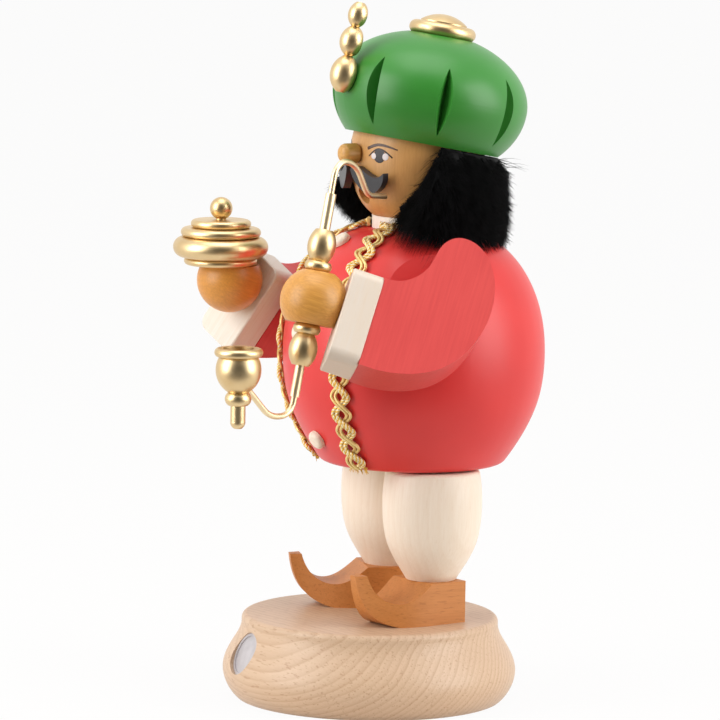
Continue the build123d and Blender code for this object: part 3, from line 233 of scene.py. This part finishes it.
# Slow clouding and fine orange peel of a sprayed coat
sprayGroup, given, made = newGroup("sprayedCoat", {"Vector": None, "Cloud Size": 0.02, "Peel Size": 0.0007},
                                   ("Cloud", "Peel"))
tree = sprayGroup
for label, detail in (("Cloud", 2.0), ("Peel", 1.0)):
    scale = mathNode(tree, "DIVIDE", 1.0, given[label + " Size"])
    spots = addNode(tree, "TexNoise", {"Vector": given["Vector"], "Scale": scale, "Detail": detail})
    tree.links.new(spots.outputs[0], made[label])


# Finishes

def newFinish(name, shaderValues):
    material = bpy.data.materials.new(name)
    material.use_nodes = True
    shader = material.node_tree.nodes["Principled BSDF"]
    for key, value in shaderValues.items():
        shader.inputs[key].default_value = value
    return material, material.node_tree, shader


def bump(tree, shader, height, strength, distance):
    node = addNode(tree, "Bump", {"Height": height, "Strength": strength, "Distance": distance})
    tree.links.new(node.outputs[0], shader.inputs["Normal"])


def grainSpace(tree, grain, pith):
    # object coordinates turned so that the grain runs along Z, taken from a pith as far away as it says
    swing = Vector(grain).rotation_difference(zUp)
    return addNode(tree, "Mapping", {"Vector": addNode(tree, "TexCoord").outputs["Object"],
                                     "Location": swing @ Vector(pith), "Rotation": swing.to_euler()}).outputs[0]


woodSurface = {"ior": 1.45, "lacquer": 0.15, "lacquerRoughness": 0.35, "fibreEdge": (0.35, 0.7),
               "bump": 0.35, "relief": 0.00006}


def woodFinish(name, look):
    material, tree, shader = newFinish(name, {
        "Roughness": look["roughness"], "IOR": woodSurface["ior"],
        "Coat Weight": look.get("lacquer", woodSurface["lacquer"]),
        "Coat Roughness": woodSurface["lacquerRoughness"]})
    wood = addNode(tree, "Group", {
        "Vector": grainSpace(tree, look["grain"], look["pith"]),
        "Ring Spacing": look["ringSpacing"], "Ring Warp": look["ringWarp"],
        "Fibre Size": look["fibreSize"], "Fleck Size": look["fleckSize"]}, node_tree=woodGroup).outputs
    ringed = mathNode(tree, "MULTIPLY", wood["Rings"], look["rings"])
    fibred = remap(tree, wood["Fibre"], *woodSurface["fibreEdge"], 0.0, look["fibres"])
    flecked = mathNode(tree, "MULTIPLY", wood["Flecks"], look["flecks"])
    color = blendColor(tree, ringed, look["pale"], look["ring"])
    color = blendColor(tree, fibred, color, look["fibre"])
    color = blendColor(tree, flecked, color, look["fleck"])
    tree.links.new(color, shader.inputs["Base Color"])
    bump(tree, shader, wood["Height"], woodSurface["bump"], woodSurface["relief"])
    return material


paintSurface = {"ior": 1.47, "shine": 0.5, "cloudEdge": (0.3, 0.7), "streakEdge": (0.38, 0.68),
                "pith": (0.02, 0.03, 0), "peelOverGrain": 0.3, "relief": 0.00008}


def paintFinish(name, look):
    # paint, metal or thread; a look with a grain lets the wood's fibres show through
    material, tree, shader = newFinish(name, {
        "Roughness": look["roughness"], "IOR": paintSurface["ior"],
        "Specular IOR Level": look.get("shine", paintSurface["shine"]), "Metallic": look.get("metal", 0.0)})
    spray = addNode(tree, "Group", {
        "Vector": addNode(tree, "TexCoord").outputs["Object"],
        "Cloud Size": look["cloudSize"], "Peel Size": look["peelSize"]}, node_tree=sprayGroup).outputs
    color = blendColor(tree, remap(tree, spray["Cloud"], *paintSurface["cloudEdge"]), look["low"], look["high"])
    height = spray["Peel"]
    if "grain" in look:
        wood = addNode(tree, "Group", {
            "Vector": grainSpace(tree, look["grain"], paintSurface["pith"]),
            "Fibre Size": look["fibreSize"]}, node_tree=woodGroup).outputs
        streaks = remap(tree, wood["Fibre"], *paintSurface["streakEdge"], 0.0, look["fibres"])
        color = blendColor(tree, streaks, color, look["fibre"])
        peel = mathNode(tree, "MULTIPLY", height, paintSurface["peelOverGrain"])
        height = mathNode(tree, "ADD", peel, wood["Fibre"])
    tree.links.new(color, shader.inputs["Base Color"])
    bump(tree, shader, height, look["peel"], paintSurface["relief"])
    return material


def dress(material, *names):
    for name in names:
        slots = nodes[name].data.materials
        slots.clear()
        slots.append(material)


# Bare and stained woods

leftForearm, rightForearm = (0.32, -0.43, -0.84), (-0.32, -0.43, -0.84)  # grain of cuffs and sleeves
maple = {"pale": (0.86, 0.75, 0.62), "ring": (0.74, 0.58, 0.42), "fibre": (0.76, 0.61, 0.45),
         "fleck": (0.70, 0.52, 0.36), "rings": 0.35, "fibres": 0.30, "flecks": 0.12,
         "ringSpacing": 0.0032, "ringWarp": 0.006, "fibreSize": 0.0007, "fleckSize": 0.0008,
         "grain": (0.02, 0.03, 1), "pith": (0.05, 0.03, 0), "roughness": 0.46}
# painted light: the collar's maple is made paler than the other maple, to lift the shade that the fur and turban
# cast on it
litCollarMaple = dict(maple, pale=(0.90, 0.83, 0.73))
# painted shade and light: the near cuff's maple is made darker and the far cuff's paler than the same maple
# elsewhere; the grain along each forearm is the wood's own
shadedCuffMaple = dict(maple, pale=(0.75, 0.65, 0.55), grain=leftForearm)
litFarCuffMaple = dict(maple, pale=(0.86, 0.80, 0.71), grain=rightForearm)
innerWood = dict(maple, pale=(0.76, 0.58, 0.40), ring=(0.62, 0.42, 0.26), rings=0.5)
beech = {"pale": (0.64, 0.46, 0.31), "ring": (0.43, 0.25, 0.137), "fibre": (0.50, 0.32, 0.19),
         "fleck": (0.37, 0.19, 0.096), "rings": 0.80, "fibres": 0.25, "flecks": 0.45,
         "ringSpacing": 0.0023, "ringWarp": 0.0028, "fibreSize": 0.0006, "fleckSize": 0.0007,
         "grain": (0.97, 0.24, 0), "pith": (0.03, 0.13, -0.11), "roughness": 0.44}
slipperStain = {"pale": (0.58, 0.225, 0.056), "ring": (0.40, 0.13, 0.026), "fibre": (0.46, 0.155, 0.032),
                "fleck": (0.32, 0.095, 0.018), "rings": 0.35, "fibres": 0.50, "flecks": 0.40,
                "ringSpacing": 0.004, "ringWarp": 0.006, "fibreSize": 0.0006, "fleckSize": 0.0007,
                "grain": (0.2, -1, 0.05), "pith": (0.05, 0, 0.08), "roughness": 0.50, "lacquer": 0.0}
skinStain = {"pale": (0.64, 0.335, 0.110), "ring": (0.46, 0.20, 0.055), "fibre": (0.48, 0.22, 0.062),
             "fleck": (0.38, 0.15, 0.035), "rings": 0.35, "fibres": 0.38, "flecks": 0.15,
             "ringSpacing": 0.0042, "ringWarp": 0.006, "fibreSize": 0.0006, "fleckSize": 0.0007,
             "grain": (0, 0.02, 1), "pith": (0.04, 0.05, 0), "roughness": 0.40}
handStain = dict(skinStain, pale=(0.73, 0.355, 0.074), ring=(0.55, 0.23, 0.042), fibre=(0.55, 0.23, 0.040),
                 fibres=0.70, rings=0.6, ringSpacing=0.0022, fibreSize=0.0008, grain=(-0.37, -0.88, 0.31))
# painted shade and painted red reflection of the coat: the far hand's stain is made a little darker and more
# orange than the near hand's; its mirrored grain is the wood's own
shadedFarHandStain = dict(handStain, pale=(0.72, 0.31, 0.052), grain=(0.37, -0.88, 0.31))
noseStain = dict(skinStain, pale=(0.70, 0.38, 0.100), ring=(0.50, 0.23, 0.056), fibre=(0.48, 0.22, 0.05),
                 fibres=0.6, grain=(0.05, -1, 0), fibreSize=0.0008)
dress(woodFinish("maple", maple), "left_leg", "right_leg", "coat_buttons")
dress(woodFinish("litCollarMaple", litCollarMaple), "collar")
dress(woodFinish("shadedCuffMaple", shadedCuffMaple), "left_cuff")
dress(woodFinish("litFarCuffMaple", litFarCuffMaple), "right_cuff")
dress(woodFinish("beech", beech), "base")
dress(woodFinish("slipperStain", slipperStain), "left_slipper", "right_slipper")
dress(woodFinish("skinStain", skinStain), "head")
dress(woodFinish("handStain", handStain), "left_hand")
dress(woodFinish("shadedFarHandStain", shadedFarHandStain), "right_hand")
dress(woodFinish("noseStain", noseStain), "nose")
dress(woodFinish("innerWood", innerWood), "foot_dowels", "hip_dowels", "seat_disc", "turban_dowel",
      "shoulder_dowels", "hand_dowels", "dish_dowel")

# Paints

redPaint = {"low": (0.66, 0.031, 0.029), "high": (0.72, 0.038, 0.034), "roughness": 0.38,
            "cloudSize": 0.03, "peelSize": 0.0012, "peel": 0.05}
redBoard = dict(redPaint, low=(0.68, 0.060, 0.055), high=(0.72, 0.070, 0.062), grain=leftForearm,
                fibreSize=0.0011, fibres=0.35, fibre=(0.56, 0.035, 0.035), roughness=0.45, peel=0.12)
farRedBoard = dict(redBoard, grain=rightForearm)
greenPaint = {"low": (0.034, 0.225, 0.026), "high": (0.044, 0.255, 0.034), "roughness": 0.36,
              "cloudSize": 0.03, "peelSize": 0.0012, "peel": 0.05}
blackPaint = {"low": (0.018, 0.016, 0.018), "high": (0.026, 0.024, 0.028), "roughness": 0.35,
              "cloudSize": 0.006, "peelSize": 0.0008, "peel": 0.08}
goldPaint = {"low": (0.70, 0.50, 0.25), "high": (0.80, 0.61, 0.34), "roughness": 0.36, "metal": 1.0,
             "cloudSize": 0.008, "peelSize": 0.0006, "peel": 0.12}
dress(paintFinish("redPaint", redPaint), "coat_body")
dress(paintFinish("redBoard", redBoard), "left_sleeve")
dress(paintFinish("farRedBoard", farRedBoard), "right_sleeve")
dress(paintFinish("greenPaint", greenPaint), "turban")
dress(paintFinish("blackPaint", blackPaint), "left_moustache", "right_moustache")
dress(paintFinish("goldPaint", goldPaint), "turban_knob", "plume", "covered_dish", "pipe_upper_bead",
      "pipe_lower_bead", "pipe_bowl")

# Bare metals

brass = {"low": (0.84, 0.66, 0.40), "high": (0.90, 0.74, 0.48), "roughness": 0.42, "metal": 1.0,
         "cloudSize": 0.006, "peelSize": 0.0005, "peel": 0.04}
tin = {"low": (0.52, 0.52, 0.53), "high": (0.64, 0.64, 0.65), "roughness": 0.32, "metal": 1.0,
       "cloudSize": 0.005, "peelSize": 0.0004, "peel": 0.08}
medallionMetal = {"low": (0.49, 0.46, 0.47), "high": (0.58, 0.55, 0.56), "roughness": 0.42, "metal": 0.4,
                  "cloudSize": 0.004, "peelSize": 0.0005, "peel": 0.10}
dress(paintFinish("brass", brass), "pipe_stem", "pipe_mouthpiece", "pipe_elbow")
dress(paintFinish("tin", tin), "incense_plate", "plate_tack", "plume_pin")
dress(paintFinish("medallionMetal", medallionMetal), "medallion")
print("finishes on", len(nodes), "nodes")


# Places that the loose pieces take from the frame

collarLow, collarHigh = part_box("collar")
axis = (collarLow + collarHigh) / 2
axis.z = 0
headBottom = collarHigh.z
noseLow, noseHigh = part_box("nose")
faceForward = (Vector(((noseLow.x + noseHigh.x) / 2, noseLow.y, 0)) - axis).normalized()
faceLeft = zUp.cross(faceForward)
beyond = 0.2  # from here a ray toward the axis starts outside the figure
weld = 0.001 * mm  # points closer than this are one


def meshOf(name):
    # a merged copy of a node's mesh
    bm = bmesh.new()
    bm.from_mesh(nodes[name].data)
    bmesh.ops.remove_doubles(bm, verts=bm.verts, dist=weld)
    return bm


def surfaceOf(name):
    bm = meshOf(name)
    found = BVHTree.FromBMesh(bm)
    bm.free()
    return found


def addPiece(name, mesh, material, body="upper_figure"):
    piece = bpy.data.objects.new(name, mesh)
    bpy.context.collection.objects.link(piece)
    mesh.materials.clear()
    mesh.materials.append(material)
    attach(piece, body)
    return piece


def tubes(name, runs, thickness, sides=0, kind="POLY", caps=True):
    # one mesh of round strands; a run is a list of (point, share of the thickness)
    curve = bpy.data.curves.new(name, "CURVE")
    curve.dimensions = "3D"
    curve.bevel_depth = thickness / 2
    curve.bevel_resolution = sides
    curve.use_fill_caps = caps
    curve.resolution_u = 3
    for run in runs:
        spline = curve.splines.new(kind)
        spline.points.add(len(run) - 1)
        spline.points.foreach_set("co", [value for point, share in run for value in (*point, 1)])
        spline.points.foreach_set("radius", [share for point, share in run])
        if kind == "NURBS":
            spline.order_u = 3
            spline.use_endpoint_u = True
    carrier = bpy.data.objects.new(name + "Line", curve)
    mesh = bpy.data.meshes.new_from_object(carrier)
    bpy.data.objects.remove(carrier)
    bpy.data.curves.remove(curve)
    mesh.name = name
    return mesh


# Painted eyes and brows: flat strokes of paint, laid out as arc and height on the head in mm

eyePaint = {"meanRadius": 24.6, "film": 0.10, "lift": 0.015, "strokeSides": 2, "spotSegments": (24, 12),
            "brow": ((6.3, 25.7, 1.0), (9.2, 27.0, 1.0), (11.8, 27.5, 0.9), (15.7, 27.0, 0.72), (19.5, 25.8, 0.4)),
            "browStroke": 1.15,
            "lid": ((7.2, 23.0, 0.8), (9.6, 25.3, 1.0), (12.1, 26.1, 1.0), (15.1, 24.9, 1.0), (17.5, 22.9, 0.9)),
            "lidStroke": 0.62,
            "iris": (12.1, 23.3, 2.55), "glints": ((9.6, 23.15, 1.15), (14.7, 23.15, 1.3)), "glintLift": 0.06}
headSurface = surfaceOf("head")


def layOnHead(bm, side, lift):
    # x becomes the arc from the middle of the face, y the height, and z the thickness of the paint
    for vert in bm.verts:
        angle = side * vert.co.x / (eyePaint["meanRadius"] * mm)
        outward = faceForward * cos(angle) + faceLeft * sin(angle)
        level = axis + zUp * (headBottom + vert.co.y)
        spot = headSurface.ray_cast(level + outward * beyond, -outward)[0]
        vert.co = spot + outward * (vert.co.z + lift * mm)
    bmesh.ops.remove_doubles(bm, verts=bm.verts, dist=weld)
    bm.normal_update()
    bmesh.ops.recalc_face_normals(bm, faces=bm.faces)


def paintStroke(name, points, width, side, material):
    run = [(Vector((x * mm, y * mm, 0)), share) for x, y, share in points]
    mesh = tubes(name, [run], width * mm, eyePaint["strokeSides"], "NURBS")
    bm = bmesh.new()
    bm.from_mesh(mesh)
    bmesh.ops.scale(bm, vec=(1, 1, eyePaint["film"]), verts=bm.verts)
    layOnHead(bm, side, eyePaint["lift"])
    bm.to_mesh(mesh)
    bm.free()
    addPiece(name, mesh, material)


def paintSpot(name, spot, side, material, lift):
    x, y, radius = spot
    around, along = eyePaint["spotSegments"]
    bm = bmesh.new()
    bmesh.ops.create_uvsphere(bm, u_segments=around, v_segments=along, radius=radius * mm)
    bmesh.ops.scale(bm, vec=(1, 1, eyePaint["film"] / radius), verts=bm.verts)
    bmesh.ops.translate(bm, vec=(x * mm, y * mm, 0), verts=bm.verts)
    layOnHead(bm, side, lift)
    mesh = bpy.data.meshes.new(name)
    bm.to_mesh(mesh)
    bm.free()
    mesh.shade_smooth()
    addPiece(name, mesh, material)


browPaint = {"low": (0.10, 0.062, 0.050), "high": (0.135, 0.085, 0.07), "roughness": 0.5,
             "cloudSize": 0.0015, "peelSize": 0.0004, "peel": 0.05}
irisPaint = dict(browPaint, low=(0.030, 0.024, 0.026), high=(0.052, 0.045, 0.048))
lidPaint = dict(browPaint, low=(0.026, 0.016, 0.015), high=(0.040, 0.026, 0.024))
glintPaint = dict(browPaint, low=(0.74, 0.66, 0.66), high=(0.80, 0.72, 0.72))
browMaterial = paintFinish("browPaint", browPaint)
irisMaterial = paintFinish("irisPaint", irisPaint)
lidMaterial = paintFinish("lidPaint", lidPaint)
glintMaterial = paintFinish("glintPaint", glintPaint)
for sideName, side in (("left", 1), ("right", -1)):
    paintStroke(sideName + "Brow", eyePaint["brow"], eyePaint["browStroke"], side, browMaterial)
    paintStroke(sideName + "Lid", eyePaint["lid"], eyePaint["lidStroke"], side, lidMaterial)
    paintSpot(sideName + "Iris", eyePaint["iris"], side, irisMaterial, eyePaint["lift"])
    for label, glint in zip(("Front", "Back"), eyePaint["glints"]):
        paintSpot(sideName + label + "Glint", glint, side, glintMaterial, eyePaint["glintLift"])
print("eyes painted")


# Gimp braid: a pair of smooth cords and a pair of two-coloured ropes, plaited in opposite waves; sizes in mm

braid = {"wave": 13.6, "swing": 2.8, "apart": 0.85, "crossing": 1.1, "cord": 1.25, "cordSides": 2,
         "rope": 1.75, "pitch": 3.0, "strand": 0.52, "strandSteps": 3,
         "angles": (32.0, -30.0), "tilts": (-60, 80), "step": 0.8,
         "hem": 1.4, "collar": 3.6, "collarSteps": 5, "collarClear": 0.5}
fray = {"threads": 26, "width": 0.34, "halfWidth": 3.7, "lift": 0.8, "length": (0.8, 2.2), "spread": 0.35,
        "lean": 0.5, "tucked": 0.3, "bend": 0.4, "sag": 0.3, "taper": (1.0, 0.9, 0.5), "seed": 3}
coatLow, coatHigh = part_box("coat_body")
coatSurface, collarSurface = surfaceOf("coat_body"), surfaceOf("collar")
coatMiddle = axis + zUp * (coatLow.z + coatHigh.z) / 2


def coatRun(turn):
    # points up the coat's outside beside the buttons, evenly spaced, each with its outward normal
    outward = Vector((sin(radians(turn)), -cos(radians(turn)), 0))
    spots = []
    for tilt in range(*braid["tilts"]):
        aim = outward * cos(radians(tilt)) + zUp * sin(radians(tilt))
        spot, normal = coatSurface.ray_cast(coatMiddle + aim * beyond, -aim)[:2]
        clear = spot and (spot - axis).dot(outward) > collarHigh.x + braid["collarClear"] * mm
        if clear and spot.z > coatLow.z + braid["hem"] * mm:
            spots.append((spot, normal))
    for step in range(braid["collarSteps"]):
        level = axis + zUp * (coatHigh.z + braid["collar"] * mm * (step + 1) / braid["collarSteps"])
        spots.append(collarSurface.ray_cast(level + outward * beyond, -outward)[:2])
    evenly, carried = [spots[0]], 0.0
    for (start, startNormal), (end, endNormal) in zip(spots, spots[1:]):
        length = (end - start).length
        reach = braid["step"] * mm - carried
        while reach <= length:
            share = reach / length
            evenly.append((start.lerp(end, share), startNormal.lerp(endNormal, share).normalized()))
            reach += braid["step"] * mm
        carried = length - (reach - braid["step"] * mm)
    return evenly


def plait(run, aside, phase, thickness):
    # centre line of one cord: it swings from edge to edge and passes over and under at the crossings
    line = []
    for index, (spot, normal) in enumerate(run):
        ahead = run[min(index + 1, len(run) - 1)][0] - run[max(index - 1, 0)][0]
        across = normal.cross(ahead).normalized()
        angle = tau * index * braid["step"] / braid["wave"] + phase
        swing = braid["swing"] * sin(angle) + aside
        lift = thickness / 2 + braid["crossing"] * (1 + cos(angle)) / 2
        line.append(spot + across * (swing * mm) + normal * (lift * mm))
    return line


def twisted(line, radius, pitch, start):
    # a strand wound round a centre line
    strand, travelled, steps = [], 0.0, braid["strandSteps"]
    first = (line[1] - line[0]).orthogonal()
    for here, there in zip(line, line[1:]):
        run = there - here
        along = run.normalized()
        first = (first - along * first.dot(along)).normalized()
        second = along.cross(first)
        for step in range(steps):
            turned = tau * (travelled + run.length * step / steps) / pitch + start
            offset = first * cos(turned) + second * sin(turned)
            strand.append((here + run * (step / steps) + offset * radius, 1.0))
        travelled += run.length
    return strand


cordGold = {"low": (0.74, 0.51, 0.17), "high": (0.86, 0.67, 0.30), "roughness": 0.36, "metal": 0.45,
            "cloudSize": 0.0012, "peelSize": 0.0003, "peel": 0.35}
ropeYellow = dict(cordGold, low=(0.74, 0.42, 0.050), high=(0.85, 0.54, 0.10), metal=0.3)
ropePale = dict(cordGold, low=(0.86, 0.75, 0.45), high=(0.92, 0.84, 0.60), metal=0.2)
cordMaterial = paintFinish("cordGold", cordGold)
yellowMaterial = paintFinish("ropeYellow", ropeYellow)
paleMaterial = paintFinish("ropePale", ropePale)
ropeStrands = (("Yellow", yellowMaterial, (0.0, pi)), ("Pale", paleMaterial, (pi / 2, 1.5 * pi)))
dice = random.Random(fray["seed"])
for sideName, turn in zip(("left", "right"), braid["angles"]):
    run = coatRun(turn)
    pair = (braid["apart"], -braid["apart"])
    smooth = [[(point, 1.0) for point in plait(run, aside, 0.0, braid["cord"])] for aside in pair]
    name = sideName + "BraidCords"
    cords = addPiece(name, tubes(name, smooth, braid["cord"] * mm, braid["cordSides"]), cordMaterial)
    ropes = [plait(run, aside, pi, braid["rope"]) for aside in pair]
    for label, material, starts in ropeStrands:
        strands = [twisted(line, braid["rope"] / 4 * mm, braid["pitch"] * mm, start)
                   for line in ropes for start in starts]
        name = sideName + "BraidRope" + label
        addPiece(name, tubes(name, strands, braid["rope"] * braid["strand"] * mm), material)
    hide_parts(sideName + "_braid")
    threads = []
    foot, outward = run[0]
    down = (foot - run[2][0]).normalized()
    across = outward.cross(down)
    for index in range(fray["threads"]):
        aside = across * dice.uniform(-fray["halfWidth"], fray["halfWidth"]) * mm
        root = foot + aside + outward * fray["lift"] * mm
        aim = down + across * dice.gauss(0, fray["spread"]) + outward * dice.uniform(0, fray["lean"])
        aim = aim * dice.uniform(*fray["length"]) * mm
        points = (root - aim * fray["tucked"], root + aim * fray["bend"], root + aim - zUp * fray["sag"] * mm)
        threads.append(list(zip(points, fray["taper"])))
    name = sideName + "BraidFray"
    addPiece(name, tubes(name, threads, fray["width"] * mm), yellowMaterial)
print("braids plaited,", round(len(run) * braid["step"]), "mm each")


# Fur: a dark pelt with combed, clumped hairs; sizes in mm

fur = {"voxel": 1.2, "smoothing": 8, "shrink": 2.6, "hairs": 21000, "length": (4.5, 7.5), "width": 0.20,
       "rooted": 0.6, "rise": 0.55, "fall": 0.70, "sweep": 0.25, "faceSweep": 1.6, "droop": 0.35,
       "jitter": 0.13, "clump": 0.40, "clumpSize": 4.0, "outwardLimit": -0.006, "bareTop": 0.75, "steep": 0.5,
       "backHalf": 21, "seed": 7}
hairShape = ((0.0, 1.0), (0.34, 0.9), (0.34, 0.6), (0.32, 0.12))  # part of the length, share of the width
strays = {"count": 24, "length": (8.0, 12.0), "facing": -0.6, "band": 10.0, "out": 1.4, "rise": (-0.5, 0.05),
          "aside": (-0.4, 0.4), "sag": 0.25, "taper": (1.0, 0.9)}
feathers = {"count": 2600, "length": (6.0, 13.0), "rightShare": 0.45, "facing": 0.45, "rooted": 0.5,
            "forward": (0.45, 1.15), "fall": (0.2, 1.1), "aside": (0.1, 0.5), "sag": 0.2, "taper": (0.65, 0.53)}
furBlack = {"low": (0.0012, 0.0011, 0.0013), "high": (0.0032, 0.0030, 0.0034), "roughness": 0.55,
            "shine": 0.10, "cloudSize": 0.004, "peelSize": 0.0006, "peel": 0.3}
bm = meshOf("fur_hair")
form = bpy.data.meshes.new("furForm")
bm.to_mesh(form)
bm.free()
carrier = bpy.data.objects.new("furForm", form)
bpy.context.collection.objects.link(carrier)
remesh = carrier.modifiers.new("even", "REMESH")
remesh.mode = "VOXEL"
remesh.voxel_size = fur["voxel"] * mm
soften = carrier.modifiers.new("soften", "SMOOTH")
soften.iterations = fur["smoothing"]
pelt = bpy.data.meshes.new_from_object(carrier.evaluated_get(bpy.context.evaluated_depsgraph_get()))
pelt.name = "furPelt"
bpy.data.objects.remove(carrier)
bpy.data.meshes.remove(form)
bm = bmesh.new()
bm.from_mesh(pelt)
bm.normal_update()
for vert in bm.verts:
    inward = vert.normal.copy()
    inward.z = min(inward.z, 0)
    vert.co -= inward * fur["shrink"] * mm
bm.to_mesh(pelt)
bm.free()
pelt.shade_smooth()
furMaterial = paintFinish("furBlack", furBlack)
peltPiece = addPiece("furPelt", pelt, furMaterial)
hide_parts("fur_hair")

dice = random.Random(fur["seed"])
noise.seed_set(fur["seed"])  # else the clumps fall differently in every run


def hair(root, normal, length):
    # four points of one hair, which rises, is combed down and back, and keeps with its clump
    outward = root - axis
    outward.z = 0
    tangent = zUp.cross(outward.normalized())
    if tangent.dot(faceForward) > 0:
        tangent = -tangent
    clump = noise.noise_vector(root / (fur["clumpSize"] * mm)) * fur["clump"]
    jitter = Vector([dice.gauss(0, fur["jitter"]) for direction in range(3)])
    sweep = fur["sweep"] * (1 - fur["faceSweep"] * max(0, normal.dot(faceForward)))
    aim = (normal * fur["rise"] - zUp * fur["fall"] + tangent * sweep + clump + jitter).normalized()
    droop = (aim - zUp * fur["droop"] + jitter).normalized()
    points, point = [], root - normal * fur["rooted"] * mm
    for part, width in hairShape:
        point = point + aim.lerp(droop, len(points) / (len(hairShape) - 1)) * (length * part)
        points.append((point, width))
    return points


def fineHair(root, aim, length, look):
    # a thin straight hair that sags toward its tip
    thick, thinning = look["taper"]
    return [(root + aim * length * share - zUp * length * look["sag"] * share ** 2, thick - thinning * share)
            for share in (0.0, 0.35, 0.7, 1.0)]


bm = bmesh.new()
bm.from_mesh(pelt)
bmesh.ops.triangulate(bm, faces=bm.faces)
furTop = max(vert.co.z for vert in bm.verts)
outer = []
for face in bm.faces:
    outward = (face.calc_center_median() - axis) * Vector((1, 1, 0))
    if face.normal.dot(outward) > fur["outwardLimit"]:
        outer.append(face)
banks = {"left": [], "right": [], "back": []}
for face in dice.choices(outer, weights=[face.calc_area() for face in outer], k=fur["hairs"]):
    first, second = sorted((dice.random(), dice.random()))
    corners = [vert.co for vert in face.verts]
    root = corners[0] * first + corners[1] * (second - first) + corners[2] * (1 - second)
    if face.normal.z > fur["bareTop"]:
        continue
    across = (root - axis).dot(faceLeft) / mm
    bank = "back" if abs(across) < fur["backHalf"] else "left" if across > 0 else "right"
    banks[bank].append(hair(root, face.normal, dice.uniform(*fur["length"]) * mm))

# a few long strays at the back, under the turban
backFaces = [face for face in outer
             if face.normal.dot(faceForward) < strays["facing"] and face.normal.z < fur["steep"]
             and face.calc_center_median().z > furTop - strays["band"] * mm]
for face in dice.choices(backFaces, k=strays["count"]):
    length = dice.uniform(*strays["length"]) * mm
    aim = face.normal * strays["out"] + zUp * dice.uniform(*strays["rise"])
    aim = (aim + faceLeft * dice.uniform(*strays["aside"])).normalized()
    banks["back"].append(fineHair(face.calc_center_median(), aim, length, strays))

# fine hairs that feather the front edges over the cheeks
frontFaces = [face for face in outer
              if face.normal.dot(faceForward) > feathers["facing"] and face.normal.z < fur["steep"]]
frontAreas = [face.calc_area() for face in frontFaces]
for face in dice.choices(frontFaces, weights=frontAreas, k=feathers["count"]):
    root = face.calc_center_median() - face.normal * feathers["rooted"] * mm
    onLeft = (root - axis).dot(faceLeft) > 0
    length = dice.uniform(*feathers["length"]) * mm * (1.0 if onLeft else feathers["rightShare"])
    aim = faceForward * dice.uniform(*feathers["forward"]) - zUp * dice.uniform(*feathers["fall"])
    aim = (aim + (faceLeft if onLeft else -faceLeft) * dice.uniform(*feathers["aside"])).normalized()
    banks["left" if onLeft else "right"].append(fineHair(root, aim, length, feathers))
bm.free()
for label, strands in banks.items():
    name = label + "FurHairs"
    mesh = tubes(name, strands, fur["width"] * mm, caps=False)
    print(name, len(strands), "hairs", len(mesh.polygons), "faces")
    addPiece(name, mesh, furMaterial)
print("fur combed")
